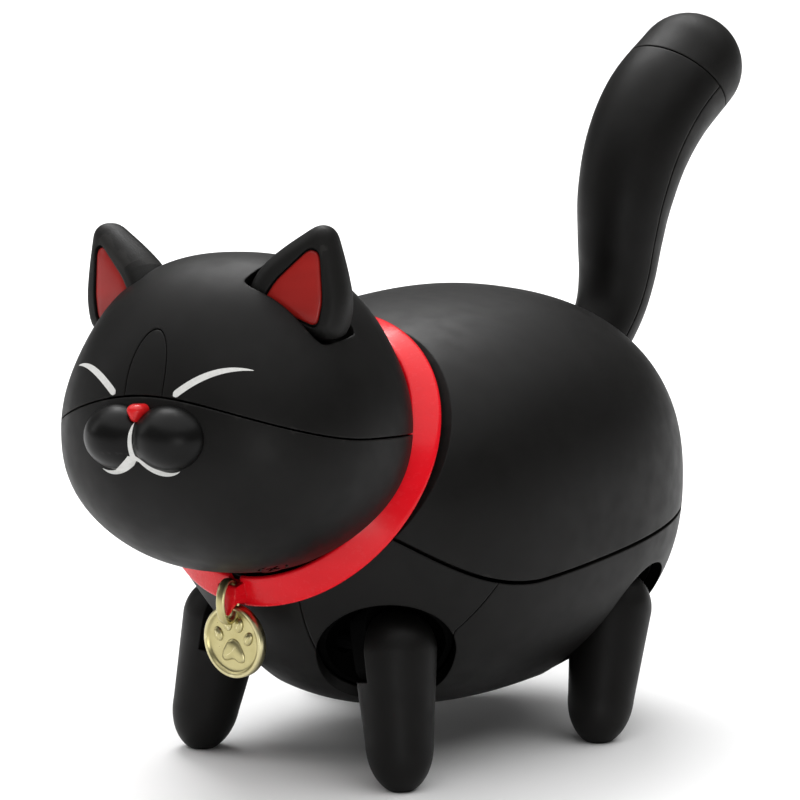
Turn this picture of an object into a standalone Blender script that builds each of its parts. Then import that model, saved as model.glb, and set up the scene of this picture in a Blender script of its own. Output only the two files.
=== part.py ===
"""Jointed cat figurine in moulded plastic: a hollow body and head on an inner frame, four legs on
ball joints, a raised tail, folding ears, and a collar with a paw medal on a ring.

+Z is up, the cat faces -Y and its left side is +X. The feet stand on Z = 0. Every dimension is in
millimetres, and metres() turns it into Blender's units.
"""

import math

import bmesh
import bpy
import numpy as np
from mathutils import Matrix, Vector

GAP = 0.3  # between pieces that touch
SHELL = 1.6  # wall of the body and head shells
INNER_INSET = 2.6  # from the outer surface to the frames inside

# Body: three superellipsoids in one smooth blend, as (centre, radii, exponent).
BODY_BLOBS = (
    ((0.0, 0.0, 37.2), (32.6, 41.4, 30.9), 2.3),
    ((0.0, -18.6, 34.7), (24.4, 25.7, 24.6), 2.0),
    ((0.0, -22.0, 41.0), (25.5, 20.0, 19.5), 2.2),
)
BODY_CENTRE = (0.0, -4.0, 37.2)
BODY_BLEND = 2.9

# Side seam between the back shell and the lower shells.
SEAM_WIDTH = 0.6
SEAM_LOW = 30.1
SEAM_TURN_Y = -15.6
SEAM_FRONT_RISE = 0.0175
SEAM_REAR_SLOPE = 0.07
SHOULDER_SEAM_TOP = (-23.6, 33.0)
SHOULDER_SEAM_LOW = (-28.2, 24.0)
CHEST_HALF_WIDTH = 8.2
CHEST_REAR_Y = -26.0

# Collar ring and neck.
COLLAR_CENTRE = (0.0, -33.6, 47.5)
COLLAR_TILT = 35.2  # its axis above the horizontal, in degrees
COLLAR_RADIUS = 24.3
NECK_CUT = -0.9  # where the shells stop behind the collar, along its axis
LOWER_BALL_AHEAD = -13.5
UPPER_BALL_AHEAD = 5.5
NECK_BALL_RADIUS = 3.6

# Head: two superellipsoids in the head's own frame, which is pitched, rolled and turned.
HEAD_CENTRE = (0.0, -48.2, 57.3)
HEAD_PITCH, HEAD_ROLL, HEAD_TURN = -7.0, -5.0, 4.0
HEAD_BLOBS = (
    ((0.0, 0.0, 0.0), (21.9, 21.0, 23.1), 2.33),
    ((0.0, -0.4, -4.0), (23.8, 20.6, 14.9), 2.33),
)
HEAD_BLEND = 3.0
HEAD_SEAM_FRONT, HEAD_SEAM_BACK = 3.0, -3.4
HEAD_SEAM_REACH = 84.0
HEAD_CLEARANCE = 1.9  # from the head to the collar, for its small nod and tilt

# Muzzle and nose, in the head's frame.
PAD_CENTRE = (4.4, -21.6, -3.0)
PAD_RADII = (6.0, 5.4, 5.35)
NOSE_CENTRE = (0.0, -23.0, 0.6)
NOSE_RADII = (1.9, 2.6, 1.4)

# Ears: a rounded triangle on a hinge across its base.
EAR_BASE = (15.6, -6.5, 15.7)
EAR_OUTWARD, EAR_LEAN = 17.0, 22.4
EAR_HALF_WIDTH = 8.1
EAR_HEIGHT = 12.4
EAR_THICKNESS = 5.2
EAR_TAPER = 2.2  # how much thicker the back makes it at the base than at the tip
EAR_DEPTH = 3.4  # below the base line, inside the pocket
EAR_AXIS_HEIGHT = -1.0

# Legs: hip ball centres, lean (foot forward) and spread (foot outward), in degrees.
HIPS = {
    "front": ((16.6, -32.15, 20.4), 7.0, 9.3),
    "rear": ((24.0, 12.0, 19.6), 19.3, 7.0),
}
WELLS = {
    "front": ((16.0, -33.5, 20.3), 10.4, 0.0),
    "rear": ((24.0, 13.0, 19.7), 9.6, 19.3),
}
WELL_LOW_RADIUS = 8.2
LEG_TOP_RADIUS, LEG_LOW_RADIUS = 6.3, 5.1
LEG_STRAIGHT, LEG_CAP = 13.8, 7.5
HIP_BALL_RADIUS = 2.6
SOCKET_WALL = 1.1
KNUCKLE_OUTER, KNUCKLE_INNER = 1.1, 4.1  # its faces, inward of the hip
KNUCKLE_HALF_WIDTH = 4.8
KNUCKLE_TOP = {"front": 8.0, "rear": 7.4}

# Tail: (y, z, radius) along its centre line, in the plane X = 0.
TAIL_LINE = (
    (37.6, 51.0, 4.7),
    (41.0, 54.8, 5.1),
    (44.2, 59.4, 5.6),
    (45.9, 64.5, 6.2),
    (46.7, 70.5, 6.9),
    (48.0, 77.0, 7.7),
    (51.2, 84.2, 8.4),
    (56.6, 90.4, 8.8),
    (65.0, 95.7, 8.7),
)
TAIL_PIVOT = (33.6, 46.8)
TAIL_TIP_SEAM = (61.6, 93.6)
TAIL_TIP_RISE = 45.0  # of the tip seam's axis above the horizontal, in degrees
TAIL_SLOT_ANGLES = (57.0, 43.0, 29.0, 15.0, 1.0)

# Paw medal and its ring.
MEDAL_CENTRE = (0.0, -49.2, 22.6)
MEDAL_RADIUS, MEDAL_THICKNESS = 5.5, 1.5
RING_CENTRE = (0.0, -50.75, 29.0)
RING_DEPTH, RING_HEIGHT = 1.75, 3.25  # half sizes of its oval centre line
RING_HALF_WIDTH, RING_HALF_WIRE = 0.75, 0.4
RING_PIVOT = (0.0, -50.7, 31.8)

# Lug on the collar's lower edge: its (y, z) side view, and the slot behind its front wall.
LUG_OUTLINE = (
    (-46.6, 29.2),
    (-48.0, 28.3),
    (-50.4, 28.7),
    (-50.6, 26.3),
    (-51.1, 26.7),
    (-51.2, 30.0),
    (-51.0, 31.3),
    (-48.4, 31.8),
)
LUG_HALF_WIDTH = 1.75
LUG_SLOT_FRONT = -50.5

CENTRING_SHIFT = 1.005  # puts the origin under the middle of the figurine's length

BLACK = ("black_plastic", (0.028, 0.027, 0.026, 1.0), 0.5, 0.0)
DARK = ("frame_plastic", (0.06, 0.06, 0.065, 1.0), 0.6, 0.0)
RED = ("red_gloss", (0.62, 0.015, 0.025, 1.0), 0.25, 0.0)
EAR_RED = ("red_satin", (0.36, 0.02, 0.02, 1.0), 0.45, 0.0)
GOLD = ("gold", (0.75, 0.62, 0.3, 1.0), 0.3, 0.9)
STEEL = ("screw_steel", (0.5, 0.5, 0.52, 1.0), 0.35, 1.0)


def metres(*values):
    return Vector(values) * 0.001


def clear_scene():
    for obj in list(bpy.data.objects):
        bpy.data.objects.remove(obj, do_unlink=True)


def new_collection(name):
    made = bpy.data.collections.new(name)
    bpy.context.scene.collection.children.link(made)
    return made


def material(spec):
    name, colour, roughness, metallic = spec
    if name in bpy.data.materials:
        return bpy.data.materials[name]
    made = bpy.data.materials.new(name)
    made.use_nodes = True
    shader = made.node_tree.nodes["Principled BSDF"]
    shader.inputs["Base Color"].default_value = colour
    shader.inputs["Roughness"].default_value = roughness
    shader.inputs["Metallic"].default_value = metallic
    return made


def finish_mesh(name, bm, place=None):
    """An object in the cutters' collection from a bmesh in millimetres."""
    bmesh.ops.remove_doubles(bm, verts=bm.verts, dist=1e-4)
    bmesh.ops.recalc_face_normals(bm, faces=bm.faces)
    if place is not None:
        bm.transform(place)
    bm.transform(Matrix.Scale(0.001, 4) @ CENTRED)
    mesh = bpy.data.meshes.new(name)
    bm.to_mesh(mesh)
    bm.free()
    obj = bpy.data.objects.new(name, mesh)
    obj.hide_render = True
    obj.display_type = "WIRE"
    CUTTERS.objects.link(obj)
    return obj


def as_part(obj, name, spec, parent=None, smooth=30.0):
    """Turns a helper into one of the figurine's pieces."""
    CUTTERS.objects.unlink(obj)
    PARTS.objects.link(obj)
    obj.name = name
    obj.hide_render = False
    obj.display_type = "TEXTURED"
    obj.data.materials.append(material(spec))
    obj.data.shade_smooth()
    obj.data.set_sharp_from_angle(angle=math.radians(smooth))
    obj.parent = parent
    if parent is not None:
        obj.matrix_parent_inverse = parent.matrix_world.inverted()
    return obj


def pivot(name, place, parent=None):
    """An empty on a joint's axis, placed by a matrix in millimetres."""
    empty = bpy.data.objects.new(name, None)
    empty.empty_display_size = 0.005
    world = place.copy()
    world.translation = (CENTRED @ place).translation * 0.001
    PARTS.objects.link(empty)
    empty.matrix_world = world
    empty.parent = parent
    if parent is not None:
        empty.matrix_parent_inverse = parent.matrix_world.inverted()
    bpy.context.view_layer.update()
    return empty


def boolean(obj, operation, *others):
    for other in others:
        modifier = obj.modifiers.new(operation.title() + " " + other.name, "BOOLEAN")
        modifier.operation = operation
        modifier.object = other
    return obj


def cut(obj, *others):
    return boolean(obj, "DIFFERENCE", *others)


def join(obj, *others):
    return boolean(obj, "UNION", *others)


def keep_inside(obj, *others):
    return boolean(obj, "INTERSECT", *others)


# Shapes ------------------------------------------------------------------------------------------


def blend_radius(directions, blobs, blend, centre):
    """Distance from the centre to the blended surface along each unit direction."""
    low = np.zeros(len(directions))
    high = np.full(len(directions), 90.0)
    for _ in range(30):
        middle = (low + high) / 2
        points = np.array(centre) + directions * middle[:, None]
        total = np.zeros(len(directions))
        for blob_centre, radii, exponent in blobs:
            q = np.abs((points - np.array(blob_centre)) / np.array(radii))
            level = (q**exponent).sum(axis=1) ** (1 / exponent) - 1
            total += np.exp(-np.clip(level * min(radii) / blend, -50, 50))
        outside = np.log(total) < 0
        high = np.where(outside, middle, high)
        low = np.where(outside, low, middle)
    return low


def blended_solid(name, blobs, blend, centre, inset=0.0, segments=28, rings=14, place=None):
    bm = bmesh.new()
    bmesh.ops.create_uvsphere(bm, u_segments=segments, v_segments=rings, radius=1.0)
    directions = np.array([v.co.normalized() for v in bm.verts])
    radius = blend_radius(directions, blobs, blend, centre) - inset
    for vert, direction, r in zip(bm.verts, directions, radius):
        vert.co = Vector(centre) + Vector(direction) * r
    return finish_mesh(name, bm, place)


def body_solid(name, inset, segments=28, rings=14):
    return blended_solid(name, BODY_BLOBS, BODY_BLEND, BODY_CENTRE, inset, segments, rings)


def head_solid(name, inset, segments=28, rings=14):
    return blended_solid(name, HEAD_BLOBS, HEAD_BLEND, (0, 0, 0), inset, segments, rings, HEAD)


def side_prism(name, outline, x_low, x_high, place=None):
    """A solid with a (y, z) outline, from x_low to x_high."""
    bm = bmesh.new()
    face = bm.faces.new([bm.verts.new((x_low, y, z)) for y, z in outline])
    grown = bmesh.ops.extrude_face_region(bm, geom=[face])
    moved = [item for item in grown["geom"] if isinstance(item, bmesh.types.BMVert)]
    bmesh.ops.translate(bm, verts=moved, vec=(x_high - x_low, 0, 0))
    return finish_mesh(name, bm, place)


def front_prism(name, outline, y_low, y_high, place=None):
    """A solid with an (x, z) outline, from y_low to y_high."""
    turn = Matrix.Rotation(math.radians(90), 4, "Z") if place is None else place @ Matrix.Rotation(
        math.radians(90), 4, "Z"
    )
    return side_prism(name, [(-x, z) for x, z in outline], y_low, y_high, turn)


def box(name, low, high, place=None):
    outline = [(low[1], low[2]), (high[1], low[2]), (high[1], high[2]), (low[1], high[2])]
    return side_prism(name, outline, low[0], high[0], place)


def lathe(name, profile, place=None, sides=24):
    """A closed (radius, height) profile turned about Z; points on the axis close the ends."""
    bm = bmesh.new()
    rings = []
    for radius, height in profile:
        if radius < 1e-6:
            rings.append([bm.verts.new((0, 0, height))])
            continue
        angles = [2 * math.pi * i / sides for i in range(sides)]
        rings.append([bm.verts.new((radius * math.cos(a), radius * math.sin(a), height)) for a in angles])
    closed = len(rings[0]) > 1
    pairs = list(zip(rings, rings[1:] + rings[:1])) if closed else list(zip(rings, rings[1:]))
    for ring, after in pairs:
        for i in range(sides):
            j = (i + 1) % sides
            corners = [ring[i % len(ring)], ring[j % len(ring)], after[j % len(after)], after[i % len(after)]]
            unique = list(dict.fromkeys(corners))
            if len(unique) > 2:
                bm.faces.new(unique)
    return finish_mesh(name, bm, place)


def ball(name, centre, radius, sides=16, place=None):
    bm = bmesh.new()
    bmesh.ops.create_uvsphere(bm, u_segments=sides, v_segments=sides // 2, radius=1.0)
    radii = radius if isinstance(radius, tuple) else (radius,) * 3
    bm.transform(Matrix.Translation(centre) @ Matrix.Diagonal((*radii, 1.0)))
    return finish_mesh(name, bm, place)


def rod(name, start, end, radius, end_radius=None, sides=16, place=None):
    """A cylinder or cone between two points."""
    start, end = Vector(start), Vector(end)
    bm = bmesh.new()
    bmesh.ops.create_cone(
        bm,
        cap_ends=True,
        segments=sides,
        radius1=radius,
        radius2=radius if end_radius is None else end_radius,
        depth=(end - start).length,
    )
    turn = (end - start).to_track_quat("Z", "Y").to_matrix().to_4x4()
    bm.transform(Matrix.Translation((start + end) / 2) @ turn)
    return finish_mesh(name, bm, place)


# Frames ------------------------------------------------------------------------------------------


def rotation(x=0.0, y=0.0, z=0.0):
    """Pitch about X, then roll about Y, then turn about Z, in degrees."""
    about = [Matrix.Rotation(math.radians(a), 4, axis) for a, axis in ((z, "Z"), (y, "Y"), (x, "X"))]
    return about[0] @ about[1] @ about[2]


def collar_frame():
    """Origin at the ring's centre, Z along its axis towards the head, Y up the ring's plane."""
    return Matrix.Translation(COLLAR_CENTRE) @ rotation(x=90.0 - COLLAR_TILT)


def ear_frame(side):
    base = (side * EAR_BASE[0], EAR_BASE[1], EAR_BASE[2])
    turn = rotation(y=side * EAR_LEAN, z=side * EAR_OUTWARD)
    return HEAD @ Matrix.Translation(base) @ turn


def hip_frame(end, side):
    """Origin at the hip ball, Z up the leg."""
    (x, y, z), lean, spread = HIPS[end]
    return Matrix.Translation((side * x, y, z)) @ rotation(x=-lean, y=-side * spread)


def spread_frame(end, side):
    """The hip frame without the lean: its X is the axis that the leg swings on."""
    (x, y, z), _, spread = HIPS[end]
    return Matrix.Translation((side * x, y, z)) @ rotation(y=-side * spread)


# Body --------------------------------------------------------------------------------------------


def seam_height(y):
    ahead = min(y - SEAM_TURN_Y, 0.0)
    behind = max(y - SEAM_TURN_Y, 0.0)
    return SEAM_LOW + SEAM_FRONT_RISE * ahead**2 + SEAM_REAR_SLOPE * behind


def seam_line(offset):
    return [(y, seam_height(y) + offset) for y in np.linspace(-48.0, 50.0, 15)]


def belly_height(y, inset=0.0):
    """Height of the body's underside on the midplane, found along a ray from the centre."""
    angles = np.linspace(-math.pi, 0.0, 361)
    directions = np.stack([0 * angles, np.cos(angles), np.sin(angles)], axis=1)
    radius = blend_radius(directions, BODY_BLOBS, BODY_BLEND, BODY_CENTRE) - inset
    return float(np.interp(y, BODY_CENTRE[1] + radius * np.cos(angles), BODY_CENTRE[2] + radius * np.sin(angles)))


def well(end, side, inset=0.0, sides=18):
    """The domed, tapered space round a leg; inset makes it narrower and lower."""
    (x, y, z), radius, lean = WELLS[end]
    top = radius - inset
    profile = [(top * math.sin(a), top * math.cos(a)) for a in np.radians(np.arange(0.0, 90.1, 22.5))]
    profile[0] = (0.0, top)
    profile += [(WELL_LOW_RADIUS - inset, -30.0), (0.0, -30.0)]
    place = Matrix.Translation((side * x, y, z)) @ rotation(x=-lean)
    return lathe(f"well_{end}_{side}_{inset}", profile, place, sides)


def jaw_screw_place(x):
    """Under the jaw, a little inside the head's surface, with Z inward."""
    direction = np.array([[x, -3.0, -21.0]])
    direction /= np.linalg.norm(direction)
    radius = blend_radius(direction, HEAD_BLOBS, HEAD_BLEND, (0.0, 0.0, 0.0))[0]
    inward = Vector(-direction[0]).to_track_quat("Z", "Y").to_matrix().to_4x4()
    return HEAD @ Matrix.Translation(direction[0] * (radius - JAW_SCREW_DEPTH)) @ inward


def neck_cutter(ahead):
    return rod("neck_cutter", (0, 0, ahead), (0, 0, 60), 50, place=COLLAR, sides=24)


def screw_place(y):
    return Matrix.Translation((0, y, belly_height(y)))


def screw_cutter(place):
    head = rod("screw_head_hole", (0, 0, -3), (0, 0, 0.9), 2.3, place=place)
    return head, rod("screw_hole", (0, 0, -2), (0, 0, 12), 1.25, sides=13, place=place)


def body_skin():
    skin = body_solid("body_skin", 0.0)
    cut(skin, body_solid("body_hollow", SHELL, 20, 10), neck_cutter(NECK_CUT))
    cut(skin, *[well(end, side) for end in WELLS for side in (1, -1)])
    cut(skin, *tail_slot())
    for y in BELLY_SCREWS:
        cut(skin, *screw_cutter(screw_place(y)))
    return skin


def lower_outline(front, rear):
    """Outline below the side seam, between two lists of (y, z) points running up and down."""
    y_low, y_high = front[-1][0], rear[0][0]
    line = [p for p in seam_line(-SEAM_WIDTH / 2) if y_low < p[0] < y_high]
    return front + line + rear


def shoulder_line(offset):
    """The seam behind the shoulder panel, from its foot up to the side seam."""
    (top_y, top_z), (low_y, low_z) = SHOULDER_SEAM_TOP, SHOULDER_SEAM_LOW
    top_z = seam_height(top_y) - SEAM_WIDTH / 2
    return [(low_y + offset, -5.0), (low_y + offset, low_z), (top_y + offset, top_z)]


def body_shells(skin, root):
    upper = seam_line(SEAM_WIDTH / 2) + [(50.0, 80.0), (-48.0, 80.0)]
    back = side_prism("back_shell", upper, -45, 45)
    as_part(keep_inside(back, skin), "back_shell", BLACK, root)

    behind = shoulder_line(GAP / 2)
    haunch = side_prism("haunch", lower_outline(behind, [(50.0, seam_height(50.0)), (50.0, -5.0)]), -45, 45)
    chest_edge = CHEST_HALF_WIDTH + GAP / 2
    bay = box("chest_bay", (-chest_edge, -60, -10), (chest_edge, CHEST_REAR_Y + GAP, 45))
    fill = box("belly_front", (-chest_edge, CHEST_REAR_Y + GAP, -5), (chest_edge, -20, 28))
    keep_inside(join(cut(haunch, bay), fill), skin)
    as_part(haunch, "belly_shell", BLACK, root)

    front_edge = [(-60.0, -5.0), (-60.0, 40.0)]
    ahead = list(reversed(shoulder_line(-GAP / 2)))
    for side, word in ((1, "left"), (-1, "right")):
        x_range = sorted((side * chest_edge, side * 45))
        outline = front_edge + [p for p in seam_line(-SEAM_WIDTH / 2) if p[0] < ahead[0][0]] + ahead
        panel = side_prism("shoulder", outline, *x_range)
        as_part(keep_inside(panel, skin), f"shoulder_panel_{word}", BLACK, root)

    half = CHEST_HALF_WIDTH - GAP / 2
    chest = box("chest", (-half, -60, -5), (half, CHEST_REAR_Y, 45))
    as_part(keep_inside(chest, skin), "chest_plate", BLACK, root)


def leg_wells(root):
    for end in WELLS:
        for side, word in ((1, "left"), (-1, "right")):
            cup = well(end, side, GAP)
            cut(cup, well(end, side, GAP + 1.0, 17))
            keep_inside(cup, body_solid(f"well_trim_{end}_{word}", SHELL + 0.25))
            hip, _, _ = HIPS[end]
            hip = (side * hip[0], hip[1], hip[2])
            inner = (0.0, hip[1], hip[2])
            cut(cup, rod("stud_hole", inner, hip, 1.9))
            as_part(cup, f"leg_well_{end}_{word}", DARK, root)


def inner_frame(root):
    """The keel: a plate down the middle with the neck socket, the tail fork and screw bosses."""
    angles = np.linspace(0.0, 2 * math.pi, 25)[:-1]
    directions = np.stack([0 * angles, np.cos(angles), np.sin(angles)], axis=1)
    radius = blend_radius(directions, BODY_BLOBS, BODY_BLEND, BODY_CENTRE) - INNER_INSET
    outline = [
        (BODY_CENTRE[1] + r * math.cos(a), BODY_CENTRE[2] + r * math.sin(a))
        for a, r in zip(angles, radius)
    ]
    keel = side_prism("keel", outline, -2.6, 2.6)
    lower_ball = COLLAR @ Vector((0, 0, LOWER_BALL_AHEAD))
    pivot_y, pivot_z = TAIL_PIVOT
    join(keel, box("neck_block", (-6.2, -7.2, -7.5), (6.2, 7.2, 1.2), Matrix.Translation(lower_ball) @ COLLAR_TURN))
    join(keel, box("tail_fork", (-5.0, pivot_y - 9, pivot_z - 5), (5.0, pivot_y + 1.8, pivot_z + 5)))
    keep_inside(keel, body_solid("frame_trim", INNER_INSET))
    for y, z, r in FRAME_WINDOWS:
        cut(keel, rod("window", (-4, y, z), (4, y, z), r, sides=12))
    cut(keel, neck_cutter(-9.8))
    cut(keel, ball("neck_socket_space", lower_ball, NECK_BALL_RADIUS + GAP, sides=14))
    cut(keel, rod("neck_socket_mouth", (0, 0, LOWER_BALL_AHEAD), (0, 0, 0), 2.8, 6.0, place=COLLAR))
    cut(keel, box("fork_slot", (-2.8, pivot_y - 5.2, pivot_z - 9), (2.8, pivot_y + 8, pivot_z + 9)))
    cut(keel, rod("tail_pin_hole", (-9, pivot_y, pivot_z), (9, pivot_y, pivot_z), 1.1 + GAP))
    for y in BELLY_SCREWS:
        cut(keel, rod("frame_screw_hole", (0, 0, -1), (0, 0, 9), 1.2, place=screw_place(y)))
    as_part(keel, "inner_frame", DARK, root)


def neck_plate(root):
    """The plate that closes the body behind the head, with the rim that carries the collar."""
    plate = lathe(
        "plate",
        [(5.6, -8.6), (22.6, -8.6), (22.6, -0.3), (21.4, -0.3), (21.4, -6.8), (5.6, -6.8)],
        COLLAR,
        sides=24,
    )
    keep_inside(plate, body_solid("plate_trim", INNER_INSET + 0.5))
    cut(plate, well("front", 1), well("front", -1))
    as_part(plate, "neck_plate", DARK, root)


def screw(name, place, length, parent):
    piece = rod(name, (0, 0, -0.5), (0, 0, 0.6), 1.9, place=place, sides=12)
    join(piece, rod("shank", (0, 0, 0.2), (0, 0, length), 0.9, place=place, sides=8))
    for size in ((1.2, 0.25), (0.25, 1.2)):
        low, high = (-size[0], -size[1], -1), (size[0], size[1], 0.1)
        cut(piece, box("recess", low, high, place))
    as_part(piece, name, STEEL, parent)


# Collar and medal --------------------------------------------------------------------------------


def collar(root):
    profile = [
        (21.8, 0.0),
        (COLLAR_RADIUS - 0.3, 0.0),
        (COLLAR_RADIUS, 0.3),
        (COLLAR_RADIUS - 0.1, 0.8),
        (COLLAR_RADIUS - 2.5, 3.8),
        (COLLAR_RADIUS - 2.9, 4.1),
        (COLLAR_RADIUS - 3.5, 3.8),
        (21.8, 0.9),
    ]
    ring = lathe("collar", profile, COLLAR, sides=36)
    lug = side_prism("lug", LUG_OUTLINE, -LUG_HALF_WIDTH, LUG_HALF_WIDTH)
    half = LUG_HALF_WIDTH + 0.2
    point = [(-half, 40.0), (-half, 29.0), (0.0, 26.2), (half, 29.0), (half, 40.0)]
    keep_inside(lug, front_prism("lug_point", point, -60, -40))
    join(ring, lug)
    cut(ring, box("ring_slot", (-1.05, LUG_SLOT_FRONT, 20), (1.05, -47.9, 40)))
    as_part(ring, "collar", RED, root)


def oval_ring(name, turns=20, sides=8):
    """The medal's ring: an oval band in the plane X = 0."""
    bm = bmesh.new()
    rings = []
    for a in (2 * math.pi * i / turns for i in range(turns)):
        out = Vector((0, RING_HEIGHT * math.cos(a), RING_DEPTH * math.sin(a))).normalized()
        middle = Vector(RING_CENTRE) + Vector((0, RING_DEPTH * math.cos(a), RING_HEIGHT * math.sin(a)))
        ring = []
        for t in (2 * math.pi * (i + 0.5) / sides for i in range(sides)):
            across = Vector((RING_HALF_WIDTH * math.sin(t), 0, 0))
            ring.append(bm.verts.new(middle + out * RING_HALF_WIRE * math.cos(t) + across))
        rings.append(ring)
    for near, far in zip(rings, rings[1:] + rings[:1]):
        for i in range(sides):
            j = (i + 1) % sides
            bm.faces.new((near[i], near[j], far[j], far[i]))
    return finish_mesh(name, bm)


def medal(parent):
    x, y, z = MEDAL_CENTRE
    front = y - MEDAL_THICKNESS / 2
    disc = rod("paw_medal", (x, front, z), (x, y + MEDAL_THICKNESS / 2, z), MEDAL_RADIUS, sides=24)
    cut(disc, rod("dish", (x, front - 1, z), (x, front + 0.4, z), MEDAL_RADIUS - 0.8, sides=24))
    paw = [((0.0, -1.3), (2.0, 1.8)), ((-2.7, 0.65), (0.75, 1.1)), ((2.7, 0.65), (0.75, 1.1))]
    paw += [((-1.0, 2.5), (0.75, 1.1)), ((1.0, 2.5), (0.75, 1.1))]
    for (px, pz), (rx, rz) in paw:
        join(disc, ball("paw_pad", (x + px, front + 0.5, z + pz), (rx, 0.7, rz), sides=6))
    join(disc, oval_ring("ring"))
    as_part(disc, "paw_medal", GOLD, parent)


# Head --------------------------------------------------------------------------------------------


def head_seam_height(azimuth):
    reach = min(abs(azimuth) / math.radians(HEAD_SEAM_REACH), 1.0)
    return HEAD_SEAM_BACK + (HEAD_SEAM_FRONT - HEAD_SEAM_BACK) * (1 + math.cos(math.pi * reach)) / 2


def head_region(name, offset, far):
    """Everything on one side of the head's wavy seam, out to the height far."""
    bm = bmesh.new()
    sides = 36
    azimuths = [2 * math.pi * i / sides - math.pi for i in range(sides)]
    middle = bm.verts.new((0, 0, offset))
    end = bm.verts.new((0, 0, far))
    rings = []
    for radius in (14.0, 34.0):
        heights = [head_seam_height(a) + offset for a in azimuths]
        rings.append([bm.verts.new((radius * math.sin(a), -radius * math.cos(a), h)) for a, h in zip(azimuths, heights)])
    rings.append([bm.verts.new((34.0 * math.sin(a), -34.0 * math.cos(a), far)) for a in azimuths])
    for i in range(sides):
        j = (i + 1) % sides
        bm.faces.new((middle, rings[0][i], rings[0][j]))
        for near, out in zip(rings, rings[1:]):
            bm.faces.new((near[i], out[i], out[j], near[j]))
        bm.faces.new((end, rings[2][j], rings[2][i]))
    return finish_mesh(name, bm, HEAD)


def tongue(grow):
    """The forehead panel's outline: straight sides that round over at the top."""
    half, base, top = 3.3 + grow, -1.0, 12.4 + grow
    spring = 5.0
    outline = [(half, base)]
    for a in np.radians(np.arange(0.0, 180.1, 20.0)):
        outline.append((half * math.cos(a), spring + (top - spring) * math.sin(a)))
    outline.append((-half, base))
    return front_prism("tongue", outline, -40, -10, HEAD)


def ear_outline(grow):
    """A triangle with a rounded tip, over a base that goes down into the pocket."""
    tip = 1.7
    half, top, low = EAR_HALF_WIDTH + grow, EAR_HEIGHT - tip, -EAR_DEPTH - grow
    side = [(half * 0.9, low), (half, 0.0), (half * 0.9, EAR_HEIGHT * 0.3), (half * 0.6, EAR_HEIGHT * 0.62)]
    outline = list(side)
    for a in np.radians(np.arange(30.0, 151.0, 30.0)):
        outline.append(((tip + grow) * math.cos(a), top + (tip + grow) * math.sin(a)))
    return outline + [(-x, z) for x, z in reversed(side)]


def ear_block(name, side, grow, wall):
    """The ear's outline as a solid whose back slopes out towards the base."""
    half = EAR_THICKNESS / 2 + wall
    outline = ear_outline(grow)
    bm = bmesh.new()
    front = [bm.verts.new((x, -half, z)) for x, z in outline]
    back = [bm.verts.new((x, half + EAR_TAPER * (1 - z / EAR_HEIGHT), z)) for x, z in outline]
    bm.faces.new(front)
    bm.faces.new(back)
    for i in range(len(outline)):
        j = (i + 1) % len(outline)
        bm.faces.new((front[i], front[j], back[j], back[i]))
    return finish_mesh(name, bm, ear_frame(side))


def ear_pocket(side):
    return ear_block("ear_pocket", side, 0.5, 0.7)


def collar_clearance(gap):
    """The flattened seat that lets the head turn inside the collar's mouth."""
    profile = [
        (0.0, -30.0),
        (33.0, -30.0),
        (33.0, 0.8 + gap),
        (COLLAR_RADIUS + 0.4 * gap, 0.8 + gap),
        (COLLAR_RADIUS - 2.5, 3.8 + gap),
        (COLLAR_RADIUS - 3.5 - gap, 3.8 + gap),
        (COLLAR_RADIUS - 6.0 - gap, 1.6 + gap),
        (0.0, -2.0 + gap),
    ]
    return lathe("collar_clearance", profile, COLLAR, sides=26)


def head_hollow():
    """The space inside the head, kept clear of the seat behind it and of the ear pockets."""
    hollow = head_solid("head_hollow", SHELL, 20, 10)
    cut(hollow, collar_clearance(HEAD_CLEARANCE + SHELL))
    for side in (1, -1):
        cut(hollow, ear_block("pocket_walls", side, 1.5, 1.7))
    return hollow


def head_skin():
    skin = head_solid("head_skin", 0.0)
    cut(skin, head_hollow())
    upper_ball = COLLAR @ Vector((0, 0, UPPER_BALL_AHEAD))
    cut(skin, collar_clearance(HEAD_CLEARANCE))
    cut(skin, rod("stem_hole", upper_ball, COLLAR @ Vector((0, 0, -20)), 6.4, sides=18))
    for side in (1, -1):
        cut(skin, ear_pocket(side), ear_axle("pin_hole", side, 1.1, 0.0, 1.7))
    for place in JAW_SCREWS:
        cut(skin, *screw_cutter(place))
    return skin


def head_shells(skin, head):
    upper = head_region("head_upper", GAP / 2, 40.0)
    keep_inside(cut(upper, tongue(GAP / 2)), skin)
    as_part(upper, "head_upper_shell", BLACK, head)
    panel = keep_inside(tongue(-GAP / 2), head_region("panel_region", GAP / 2, 40.0), skin)
    as_part(panel, "forehead_panel", BLACK, head)
    lower = keep_inside(head_region("head_lower", -GAP / 2, -40.0), skin)
    as_part(lower, "head_lower_shell", BLACK, head)


def muzzle(head):
    x, y, z = PAD_CENTRE
    face = ball("pad_left", (x, y, z), PAD_RADII, sides=18, place=HEAD)
    join(face, ball("pad_right", (-x, y, z + 0.01), PAD_RADII, sides=18, place=HEAD))
    join(face, ball("pad_bridge", (0, y - 0.07, z + 0.3), (4.4, 3.5, 4.0), sides=14, place=HEAD))
    cut(face, head_solid("muzzle_seat", -GAP))
    clear = tuple(r + GAP for r in NOSE_RADII)
    cut(face, ball("nose_pocket", NOSE_CENTRE, clear, sides=16, place=HEAD))
    as_part(face, "muzzle", BLACK, head)
    nose = ball("nose", NOSE_CENTRE, NOSE_RADII, sides=16, place=HEAD)
    cut(nose, head_solid("nose_seat", -GAP))
    as_part(nose, "nose", RED, head)


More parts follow.
